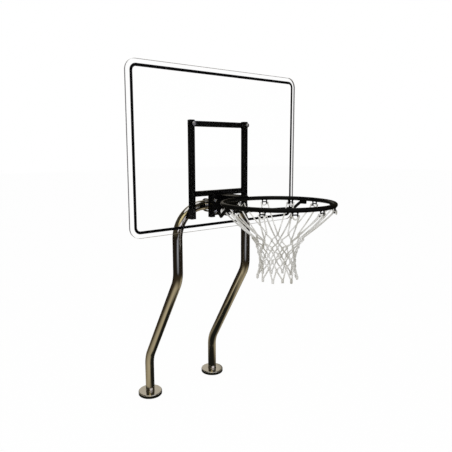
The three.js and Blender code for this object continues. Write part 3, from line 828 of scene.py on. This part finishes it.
ring = start_circle("hoop_ring", ring_point(0, ring_radius, ring_middle.z), ACROSS, bar_radius, around=28)
bpy.ops.mesh.spin(steps=RING_STEPS, angle=2 * math.pi, center=ring_middle, axis=UP)
close_up(doubles=SPIN_ERROR)
ready(ring, black, ["ring"])

# %% [markdown]
# ## The braces
#
# Each brace is a round bar that leaves the foot of the plate, runs down and out, and turns up to lie under
# the side of the ring, where it is welded. It is cut off square against the plate, so the bar is drawn a
# little too long and bisected there.

# %% Make the braces
BRACE_RADIUS, BRACE_EDGE = 0.007, 0.0006
BRACE_BACK_SPREAD, BRACE_BEND_SPREAD = 0.048, 0.444
BRACE_BEND_REACH, BRACE_BEND_DROP = 0.268, 0.048
BRACE_END_ANGLE, BRACE_SEAT = 75, 0.030

half_seat = math.degrees(BRACE_SEAT / 2 / ring_radius)
seat_height = ring_low.z - GAP - BRACE_RADIUS
brace_weld = Vector((BRACE_BACK_SPREAD / 2, plate_low.y - GAP, plate_low.z + BRACE_RADIUS))
bend_depth, bend_height = board_low.y - BRACE_BEND_REACH, ring_middle.z - BRACE_BEND_DROP
brace_bend = Vector((BRACE_BEND_SPREAD / 2, bend_depth, bend_height))
route = [brace_weld + (brace_weld - brace_bend).normalized() * 2 * BRACE_RADIUS, brace_bend]
route += [ring_point(BRACE_END_ANGLE + turn, ring_radius, seat_height) for turn in (-half_seat, half_seat)]
for side, sign in SIDES.items():
    corners = [(sign * place.x, place.y, place.z) for place in route]
    brace = bent_bar(side + "_hoop_brace", corners, [2 * BRACE_RADIUS] * 2, BRACE_RADIUS, steps=8)
    edit(brace)
    bpy.ops.mesh.bisect(plane_co=(0, plate_low.y, 0), plane_no=-FRONT, use_fill=True, clear_outer=True)
    bpy.ops.object.mode_set(mode="OBJECT")
    soften(brace, BRACE_EDGE)
    ready(brace, black, [side + "_brace"])

# %% [markdown]
# ## The net hooks
#
# Twelve wire hooks are welded under the ring. Each is an H: two legs whose feet turn outwards, and a cross
# wire. One is made at the board's side of the ring, and the others are copies, turned round the ring. A
# collar of weld joins each leg to the ring.

# %% Make the first hook
HOOK_COUNT = 12
HOOK_WIRE, HOOK_LEGS, HOOK_DROP = 0.0055, 0.020, 0.022
HOOK_BAR_DROP, HOOK_FOOT, HOOK_FOOT_FALL, HOOK_EDGE = 0.008, 0.007, 0.004, 0.0005
COLLAR_ROUND, COLLAR_INSET, COLLAR_SINK, COLLAR_RISE = 0.0018, 0.0002, 0.0001, 0.001

wire = HOOK_WIRE / 2
hook_top = ring_point(0, ring_radius, ring_low.z - GAP)
bulge = arc((wire - COLLAR_INSET, -COLLAR_SINK), COLLAR_ROUND, 270, 380, 6)
collar = [(wire, -COLLAR_SINK - COLLAR_ROUND)] + bulge + [(wire, COLLAR_RISE)]
parts = []
for sign in SIDES.values():
    head = hook_top + ACROSS * sign * HOOK_LEGS / 2
    knee = head + UP * (wire - HOOK_DROP + HOOK_FOOT_FALL)
    toe = head + ACROSS * sign * HOOK_FOOT + UP * (wire - HOOK_DROP)
    rod = bent_bar("hook_leg", [head, knee, toe], [HOOK_WIRE], wire, around=14, steps=5)
    soften(rod, HOOK_EDGE)
    parts += [rod, turned("hook_weld", head, UP, collar, around=20)]
ends = [hook_top + ACROSS * sign * HOOK_LEGS / 2 - UP * HOOK_BAR_DROP for sign in SIDES.values()]
first_hook = joined("hook_01", *parts, bent_bar("hook_bar", ends, [], wire, around=14))
print("The first hook has", len(first_hook.data.polygons), "faces")


# %% Copy the hook round the ring
def copy_of(piece, name):
    """A copy with its own mesh."""
    twin = piece.copy()
    twin.data = piece.data.copy()
    twin.name = twin.data.name = name
    bpy.context.scene.collection.objects.link(twin)
    return twin


hooks = [first_hook] + [copy_of(first_hook, f"hook_{number:02d}") for number in range(2, HOOK_COUNT + 1)]
middle = Matrix.Translation(ring_middle)
for number, hook in enumerate(hooks):
    turn = Matrix.Rotation(-2 * math.pi * number / HOOK_COUNT, 4, "Z")
    hook.data.transform(middle @ turn @ middle.inverted())
    ready(hook, black, ["net_" + hook.name])

# %% [markdown]
# ## Threads
#
# A bolt without its thread looks like a toy as soon as you come near. A thread is one ridge wound round the
# rod, so a small triangle is drawn beside the axis and the Screw modifier winds it. The rod under it is the
# thread's core.

# %% A helper for threads
THREAD_DEPTH = 0.0004  # from the crest to the rod
RIDGE = 0.6  # of the pitch


def thread(place, radius, pitch, length):
    """A wound ridge of three sides, from a place towards the front, whose crest is at a radius."""
    size = pitch * RIDGE
    beside = {"location": (radius - size, 0, 0), "rotation": (math.pi / 2, math.pi / 2, 0)}
    piece = start("thread", bpy.ops.mesh.primitive_circle_add, vertices=3, radius=size, **beside)
    winding = {"screw_offset": pitch, "iterations": round(length / pitch)}
    modify(piece, "SCREW", angle=2 * math.pi, steps=24, render_steps=24, **winding)
    edit(piece)
    close_up()
    piece.data.transform(Matrix.Translation(place) @ facing(FRONT).to_matrix().to_4x4())
    return piece


# %% [markdown]
# ## The U-bolts with their nuts and washers
#
# Each U-bolt goes round the back of the support tube and comes forward through post, board and plate. A
# nut is a hexagon whose corners are turned off at about 30 degrees: it is what a hexagon and a turned,
# chamfered disc have in common, which the Boolean modifier finds.

# %% Helpers for nuts and washers
THREAD_CLEARANCE = 0.00015
NUT_CHAMFER, NUT_EDGE = 0.0009, 0.00025
NUT_TURNED = 0.985  # the disc's radius as a share of the hexagon's
WASHER_ROUND = 0.3  # of its thickness


def hex_nut(name, node, rod):
    """A chamfered nut in the box of a CAD node, with its axis along Y."""
    low, high, middle = box_of(node)
    height, corner = high.y - low.y, (high.x - low.x) / 2
    radius = corner * NUT_TURNED
    chamfered = [(radius - 2 * NUT_CHAMFER, 0), (radius, NUT_CHAMFER)]
    chamfered += [(radius, height - NUT_CHAMFER), (radius - 2 * NUT_CHAMFER, height)]
    back = (middle.x, high.y, middle.z)
    nut = turned(name, back, FRONT, [(corner, 0), (corner, height)], around=6)
    disc = turned("chamfer_disc", back, FRONT, chamfered, around=64)
    modify(nut, "BOOLEAN", object=disc, operation="INTERSECT", solver="EXACT")
    bpy.data.objects.remove(disc)
    drill(nut, middle, rod, THREAD_CLEARANCE)
    soften(nut, NUT_EDGE, steps=1)
    edit(nut)
    close_up(fill=False)
    return nut


def flat_washer(name, node, rod):
    """A stamped washer in the box of a CAD node."""
    low, high, middle = box_of(node)
    outer, inner, thick = (high.z - low.z) / 2, rod / 2 + HOLE_CLEARANCE, high.y - low.y
    turn = thick * WASHER_ROUND
    rings = [(inner, 0), (outer - turn, 0)] + arc((outer - turn, turn), turn, -90, 0, 3)[1:]
    rings += [(outer, thick - turn / 2), (outer - turn / 2, thick), (inner + turn / 2, thick)]
    rings += [(inner, thick - turn / 2), (inner, 0)]
    return turned(name, (middle.x, high.y, middle.z), FRONT, rings)


# %% Make the U-bolts
THREAD_PITCH, THREAD_SHOWS, ROD_CHAMFER = 0.0015, 0.042, 0.0008

bolt_end, bolt_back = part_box("left_u_bolt")[0].y, -LEG_SETBACK + U_BOLT_RISE
lower, upper = u_bolt_heights
for side, sign in SIDES.items():
    x = sign * POST_SPACING / 2
    corners = [(x, bolt_end, upper), (x, bolt_back, upper), (x, bolt_back, lower), (x, bolt_end, lower)]
    rod = bent_bar(side + "_rod", corners, [U_BOLT_RISE] * 2, U_ROD / 2 - THREAD_DEPTH, around=28, steps=16)
    soften(rod, ROD_CHAMFER, steps=1)
    places = [(x, bolt_end + THREAD_SHOWS, height) for height in u_bolt_heights]
    threads = [thread(place, U_ROD / 2, THREAD_PITCH, THREAD_SHOWS - ROD_CHAMFER) for place in places]
    ready(joined(side + "_clamp_bolt", rod, *threads), zinc, [side + "_u_bolt"])
    for level in ["lower", "upper"]:
        name = f"{side}_{level}"
        ready(flat_washer(name + "_flat_washer", name + "_washer", U_ROD), zinc, [name + "_washer"])
        ready(hex_nut(name + "_hex_nut", name + "_nut", U_ROD), zinc, [name + "_nut"])

# %% [markdown]
# ## The board bolts
#
# At the top of each upright a bolt with a low domed head holds the board. Head, rod and chamfer are one
# stack of rings from the front of the dome to the tail behind the nut.

# %% Make the board bolts
BOLT_HEAD, BOLT_DOME = 0.0075, 0.005
BOLT_PITCH, BOLT_THREAD = 0.00125, 0.016

bolt_core = BOLT_ROD / 2 - THREAD_DEPTH
angles = [math.radians(degrees) for degrees in range(6, 91, 12)]
dome = [(BOLT_HEAD * math.sin(angle), BOLT_DOME * (1 - math.cos(angle))) for angle in angles]
for side in SIDES:
    name = side + "_board"
    low, high, middle = box_of(name + "_bolt")
    length = high.y - low.y
    tail = [(bolt_core, BOLT_DOME), (bolt_core, length - ROD_CHAMFER), (bolt_core - ROD_CHAMFER, length)]
    bolt = turned("bolt", (middle.x, low.y, middle.z), -FRONT, dome + tail, around=40)
    ridge = thread((middle.x, high.y, middle.z), BOLT_ROD / 2, BOLT_PITCH, BOLT_THREAD)
    ready(joined(name + "_dome_bolt", bolt, ridge), zinc, [name + "_bolt"])
    ready(hex_nut(name + "_hex_nut", name + "_nut", BOLT_ROD), zinc, [name + "_nut"])
    for place in ["front", "rear"]:
        node = f"{name}_{place}_washer"
        ready(flat_washer(f"{name}_{place}_disc", node, BOLT_ROD), zinc, [node])

# %% [markdown]
# ## Welds
#
# A weld bead is a row of overlapping puddles. A curve with a round section is laid along each seam, and
# every second point of it is a little thinner, which gives the ripple. All the beads of the frame are one
# curve with many splines, turned into a mesh at the end.

# %% Helpers for beads and cords
ROUNDNESS = 2  # gives a curve a section of twelve sides
BEAD, RIPPLE = 0.0024, 0.0011
BEAD_TIP, BEAD_DIP = 0.35, 0.86  # of a bead's thickness


def rope_mesh(name, runs, radius):
    """Round tubes along lists of (point, thickness), as one mesh with a UV map along and around."""
    curve = bpy.data.curves.new(name, "CURVE")
    curve.dimensions = "3D"
    curve.bevel_depth = radius
    curve.bevel_resolution = ROUNDNESS
    curve.use_fill_caps = True
    for run in runs:
        spline = curve.splines.new("POLY")
        spline.points.add(len(run) - 1)
        for point, (place, thickness) in zip(spline.points, run):
            point.co = (*place, 1)
            point.radius = thickness
    rope = bpy.data.objects.new(name, curve)
    bpy.context.scene.collection.objects.link(rope)
    only(rope)
    bpy.ops.object.convert(target="MESH")
    piece = bpy.context.object
    edit(piece)
    close_up(fill=False)
    return piece


def puddles(count):
    """The thickness at each of a number of points along a bead."""
    return [1.0 if number % 2 else BEAD_DIP for number in range(count)]


def bead(first, last):
    """The points of a straight bead."""
    first, last = Vector(first), Vector(last)
    count = max(4, round((last - first).length / RIPPLE))
    places = [first.lerp(last, step / count) for step in range(count + 1)]
    return list(zip(places, [BEAD_TIP] + puddles(count - 1) + [BEAD_TIP]))


# %% Lay the frame's beads
seams = []
for level in ["top", "lower"]:
    low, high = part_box(level + "_crossbar")
    for x in (low.x, high.x):
        for z in (low.z, high.z):
            seams.append(bead((x, low.y + BAR_CORNER, z), (x, high.y - BAR_CORNER, z)))
        seams.append(bead((x, high.y, low.z + BAR_CORNER), (x, high.y, high.z - BAR_CORNER)))
for side in SIDES:
    low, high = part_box(side + "_post")
    for x in (low.x, high.x):
        seams.append(bead((x, low.y + BAR_CORNER, high.z), (x, high.y - BAR_CORNER, high.z)))
    seams.append(bead((low.x + BAR_CORNER, high.y, high.z), (high.x - BAR_CORNER, high.y, high.z)))
ready(rope_mesh("frame_welds", seams, BEAD), black, [])

# %% Lay the hoop's beads
NECK_HALF, WEB_HALF, NECK_DEPTH, WEB_BACK_DEPTH = 0.042, 0.0145, 0.005, 0.084
BRACE_BEAD = BRACE_RADIUS + 0.0006
SEAT_BEAD, SEAT_SINK = 0.7 * BRACE_RADIUS, 0.0008
STEPS_ROUND, STEPS_ALONG = 26, 20

top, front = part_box("neck")[1].z - NECK_DEPTH, plate_low.y
angles = [math.pi / 4 - 2 * math.pi * step / STEPS_ROUND for step in range(STEPS_ROUND + 1)]
turns = [BRACE_END_ANGLE + half_seat * (2 * step / STEPS_ALONG - 1) for step in range(STEPS_ALONG + 1)]
seams = [bead((-NECK_HALF, front, top), (-WEB_HALF, front, top)),
         bead((WEB_HALF, front, top), (NECK_HALF, front, top))]
for sign in SIDES.values():
    x = sign * WEB_HALF
    seams.append(bead((x, front, top), (x, front, ring_high.z - WEB_BACK_DEPTH)))
    seams.append(bead((x, front, top), (x, ring_high.y, top)))
    weld = Vector((sign * brace_weld.x, brace_weld.y, brace_weld.z))
    places = [weld + (ACROSS * math.cos(angle) + UP * math.sin(angle)) * BRACE_BEAD for angle in angles]
    seams.append(list(zip(places, puddles(len(places)))))
    for radius in (ring_radius - SEAT_BEAD, ring_radius + SEAT_BEAD):
        places = [ring_point(sign * turn, radius, ring_low.z - SEAT_SINK) for turn in turns]
        seams.append(list(zip(places, puddles(len(places)))))
ready(rope_mesh("hoop_welds", seams, BEAD), black, [])

# %% [markdown]
# ## The net
#
# Twelve cords make the net. The middle of each cord hangs slack behind a hook's legs and comes forward over
# both feet, and its two halves go down, swinging half a hook's spacing out and back. In one row a half
# meets a half of the next cord, and in the next row it meets its own other half. Where two cords meet, each
# makes a turn about the other, and that is the knot. A hand-tied net is never quite even, so every knot
# strays a few millimetres from its row, by sines of its number that give the same net each time. The
# corners are rounded by cutting them again and again, and the cord is drawn as a curve with a round
# section.

# %% Helpers for the cord
NET_CORD = 0.006
CORNER_CUTS = 2
STRETCH = 0.008  # the longest straight stretch between points


def round_off(points, times):
    """Cuts every corner of a route at a quarter and three quarters of its sides."""
    for _ in range(times):
        middle = [p.lerp(q, share) for p, q in zip(points, points[1:]) for share in (0.25, 0.75)]
        points = [points[0]] + middle + [points[-1]]
    return points


def filled_in(points, longest):
    """Adds points so that no stretch is longer than asked."""
    route = [points[0]]
    for here, there in zip(points, points[1:]):
        count = math.ceil((there - here).length / longest)
        route += [here.lerp(there, step / count) for step in range(1, count + 1)]
    return route


# %% Helpers for the knots
NET_ROW_DEPTH = [0.150, 0.179, 0.210, 0.242, 0.273, 0.320]
NET_ROW_RADIUS = [0.106, 0.089, 0.080, 0.076, 0.075, 0.086]
KNOT_HEIGHT, KNOT_RADIUS, KNOT_STEPS = 0.013, 0.0029, 14
BOTTOM_KNOT_HEIGHT, BOTTOM_KNOT_TURNS = 0.012, 2
STRAY = 0.0035  # how far a knot may stray from its row
STRAY_WAVES = [(2.3, 1.1), (3.7, 2.9), (1.3, 4.1)]  # radians to a knot and to a row

pitch = 360 / HOOK_COUNT


def knot_middle(row, turn):
    """Where a knot hangs, a little astray."""
    number = round(turn / (pitch / 2)) % (2 * HOOK_COUNT)
    astray = [STRAY * math.sin(number * by_knot + row * by_row) for by_knot, by_row in STRAY_WAVES]
    radius = NET_ROW_RADIUS[row]
    height = ring_middle.z - NET_ROW_DEPTH[row] + astray[2]
    return ring_point(turn + math.degrees(astray[0] / radius), radius + astray[1] / 2, height)


def knot(row, turn, lean):
    """One cord's turns in a knot, from its top, starting on the side that it comes from."""
    bottom = row == len(NET_ROW_DEPTH) - 1
    turns, height = (BOTTOM_KNOT_TURNS, BOTTOM_KNOT_HEIGHT) if bottom else (1, KNOT_HEIGHT)
    middle = knot_middle(row, turn)
    outward = ((middle - ring_middle) * Vector((1, 1, 0))).normalized()
    sideways = Vector((outward.y, -outward.x, 0))
    steps = KNOT_STEPS * turns
    points = []
    for step in range(steps + 1):
        angle = 2 * math.pi * turns * step / steps
        away = (sideways * math.cos(angle) + outward * math.sin(angle)) * lean
        points.append(middle + away * KNOT_RADIUS + UP * height * (0.5 - step / steps))
    return points


# %% Tie the net
SAG = 0.005  # of the long strands under the hooks
NET_TAIL = 0.004
SLACK = 0.018  # of a cord's middle, under a hook's cross wire

reach = wire + GAP + NET_CORD / 2
behind, before = ring_radius + reach, ring_radius - reach
spread = HOOK_LEGS / 2 + reach
foot_end = hook_top.z - HOOK_DROP
bight = foot_end + wire + HOOK_FOOT_FALL + NET_CORD / 2 + 2 * GAP
strands = []
for number in range(HOOK_COUNT):
    home = number * pitch
    across = Vector((math.cos(math.radians(home)), -math.sin(math.radians(home)), 0))
    halves = []
    for sign in SIDES.values():
        over_foot = [(behind, bight), (before, bight), (before, foot_end)]
        places = [ring_point(home, *corner) + across * sign * spread for corner in over_foot]
        for row in range(len(NET_ROW_DEPTH)):
            outwards = row % 2 == 0
            tied = knot(row, home + sign * pitch / 2 * outwards, -sign if outwards else sign)
            if row == 0:
                places.append(places[-1].lerp(tied[0], 0.5) - UP * SAG)
            places += tied
        places.append(places[-1] - UP * NET_TAIL)
        halves.append(places)
    slack = ring_point(home, behind, bight - SLACK)
    whole = halves[0][::-1] + [slack] + halves[1]
    strands.append([(place, 1.0) for place in filled_in(round_off(whole, CORNER_CUTS), STRETCH)])
ready(rope_mesh("cord_net", strands, NET_CORD / 2), cord, ["net"])

# %% [markdown]
# ## Studio
#
# The picture has a plain white background, so the world and the floor are plain white to the camera, to
# mirrors and to glass, and a little dimmer to matt surfaces, which would clip to white otherwise.

# %% Floor
FLOOR_SIZE, FLOOR_SHARE = 60, 0.97
WHITE = (1, 1, 1, 1)


def seen_white(network, lit, kind, output, share=1.0):
    """Shows plain white to the camera, reflections and glass, and what is lit to everything else.

    `kind` is the node that glows, Emission in a material and Background in the world."""
    rays = ["Is Camera Ray", "Is Glossy Ray", "Is Transmission Ray"]
    eye, mirror, glass = [network.node("LightPath", {}, {}, ray) for ray in rays]
    white = network.node(kind, {}, {"Color": WHITE, "Strength": 1.0})
    amount = eye.bigger(mirror).bigger(glass) * share
    mixed = network.node("MixShader", {}, {0: amount, 1: lit, 2: white})
    network.feed(network.nodes[output].inputs["Surface"], mixed)


ground = Finish("pale_floor", {"Base Color": (0.86, 0.86, 0.855, 1), "Roughness": 0.9})
seen_white(ground, Wire(ground, ground.shader.outputs[0]), "Emission", "Material Output", FLOOR_SHARE)
floor = start("studio_floor", bpy.ops.mesh.primitive_plane_add, size=FLOOR_SIZE, location=(0, 0, -0.001))
floor.data.materials.append(ground.material)

# %% [markdown]
# ## Painted cards
#
# Polished steel shows its surroundings, and in a blank white room it looks like grey paint. So, as in a
# real product studio, painted cards stand round the hoop that only reflections see. The lower card is a
# deck: dark ground far off, pale paving round the legs with a dark patch in it, a ring of painted contact
# shadow where each leg goes in, the sky in the water, and far out a glint that the nuts and the top of the
# tube catch. The other is a round wall, dark like a hedge, with a pale gap behind the hoop, warm light over
# the camera's left shoulder and a bright strip low in front. Each patch of paint fades smoothly, and all
# places are in metres.


# %% Helpers for painting
def ramp(value, zero, one):
    """Goes smoothly from 0 to 1 while a value goes from `zero` to `one`."""
    ends = {"Value": value, "From Min": zero, "From Max": one}
    return value.network.node("MapRange", {"interpolation_type": "SMOOTHSTEP"}, ends)


def near(paint, point, zero, one, squeeze=1.0):
    """Goes smoothly from 0 to 1 while the distance from a point goes from `zero` to `one`.

    A `squeeze` under 1 makes the patch that much taller than wide."""
    ends = {0: paint.place((1, 1, squeeze)), 1: (point[0], point[1], point[2] * squeeze)}
    return ramp(paint.node("VectorMath", {"operation": "DISTANCE"}, ends, "Value"), zero, one)


def only_reflected(piece, paint, colour):
    """Makes a glowing card of a piece that reflections see, and nothing else does."""
    glow = paint.node("Emission", {}, {"Color": colour, "Strength": 1.0})
    paint.feed(paint.nodes["Material Output"].inputs["Surface"], glow)
    piece.data.materials.append(paint.material)
    piece.visible_camera = piece.visible_diffuse = piece.visible_transmission = False
    piece.visible_shadow = piece.visible_volume_scatter = False


# %% The deck card
DECK_SIZE = 56
FAR_GROUND, NEAR_GROUND = (0.018, 0.014, 0.010, 1), (0.05, 0.038, 0.022, 1)
# The second colour on the next line is a dark patch in the paving and the painted contact shadow round each
# leg.
PAVING, DARK_PATCH_AND_SHADOW = (0.52, 0.45, 0.30, 1), (0.013, 0.013, 0.010, 1)
SKY, GLINT = (0.46, 0.49, 0.56, 1), (1.1, 1.05, 1.25, 1)

paint = Finish("deck_card", {})
x, y = paint.place().part("X"), paint.place().part("Y")
colour = paint.blend(FAR_GROUND, NEAR_GROUND, near(paint, (0, 0, 0), 3, 1))
paving = near(paint, (-0.45, -0.3, 0), 1.0, 0).bigger(near(paint, (0.75, -0.35, 0), 1.2, 0) * 0.85)
paving = paving.bigger(near(paint, (0.05, 0.7, 0), 0.6, 0.1) * 0.6)
colour = paint.blend(colour, PAVING, paving)
sky = ramp(x, -4.3, -2.3) * ramp(x, -0.3, -2.3) * ramp(y, -1.5, -3.8)
colour = paint.blend(colour, SKY, sky)
colour = paint.blend(colour, GLINT, near(paint, (5.6, -7.6, 0), 3.2, 1.6))
# A dark patch in the paving, and a ring of painted contact shadow round each leg's foot.
dark_patch_and_shadow = ramp(x - 0.25 * y, -0.33, -0.15) * ramp(x, 0.52, 0.22) * ramp(y, -0.54, -0.35) * ramp(y, 0.35, 0.05)
for sign in SIDES.values():
    dark_patch_and_shadow = dark_patch_and_shadow.bigger(near(paint, (sign * foot, 0, 0), 0.115, 0.10))
colour = paint.blend(colour, DARK_PATCH_AND_SHADOW, dark_patch_and_shadow)
deck = start("deck_card", bpy.ops.mesh.primitive_plane_add, size=DECK_SIZE, location=(0, 0, -0.0005))
only_reflected(deck, paint, colour)

# %% The wall card
WALL_RADIUS, WALL_BOTTOM, WALL_TOP, WALL_SIDES = 5.0, 0.7, 11.0, 72
HEDGE, PALE_GAP = (0.05, 0.043, 0.027, 1), (0.56, 0.52, 0.44, 1)
WARM_LIGHT, BRIGHT_STRIP = (0.90, 0.78, 0.44, 1), (1.25, 1.22, 1.35, 1)

paint = Finish("wall_card", {})
height = paint.place().part("Z")
colour = paint.blend(HEDGE, PALE_GAP, near(paint, (2.27, 4.46, 3.6), 2.0, 1.3, 0.45))
colour = paint.blend(colour, WARM_LIGHT, near(paint, (-3.6, -3.9, 5.5), 3.5, 1.5))
strip = near(paint, (-0.6, -5.2, 1.9), 4.2, 1.6) * ramp(height, 1.2, 1.6) * ramp(height, 3.0, 2.0)
colour = paint.blend(colour, BRIGHT_STRIP, strip)
size = {"vertices": WALL_SIDES, "radius": WALL_RADIUS, "depth": WALL_TOP - WALL_BOTTOM}
middle = (0, 0, (WALL_BOTTOM + WALL_TOP) / 2)
add = bpy.ops.mesh.primitive_cylinder_add
wall = start("wall_card", add, location=middle, end_fill_type="NOTHING", **size)
only_reflected(wall, paint, colour)

# %% [markdown]
# ## World and lamp
#
# The world lights everything evenly, and one large soft lamp, high on the camera's left, gives the pieces a
# light side. Reflections don't see the lamp, because the wall's patches make the highlights.

# %% World and lamp
WORLD_STRENGTH = 0.8
LAMP_SIZE, LAMP_POWER = 2.5, 60
LAMP_PLACE, LAMP_AIM = Vector((-2.4, -2.2, 3.6)), Vector((0, -0.4, 0.9))

world = bpy.data.worlds.new("studio_world")
bpy.context.scene.world = world
world.use_nodes = True
surroundings = Network(world.node_tree)
background = surroundings.node("Background", {}, {"Color": WHITE, "Strength": WORLD_STRENGTH})
seen_white(surroundings, background, "Background", "World Output")

lamp_data = bpy.data.lights.new("soft_key", "AREA")
lamp_data.size = LAMP_SIZE
lamp_data.energy = LAMP_POWER
lamp = bpy.data.objects.new("soft_key", lamp_data)
bpy.context.scene.collection.objects.link(lamp)
lamp.location = LAMP_PLACE
lamp.rotation_euler = (LAMP_AIM - LAMP_PLACE).to_track_quat("-Z", "Y").to_euler()
lamp.visible_glossy = False
bpy.context.scene.view_settings.view_transform = "Standard"
print("The lamp stands", round((LAMP_AIM - LAMP_PLACE).length, 2), "m away")
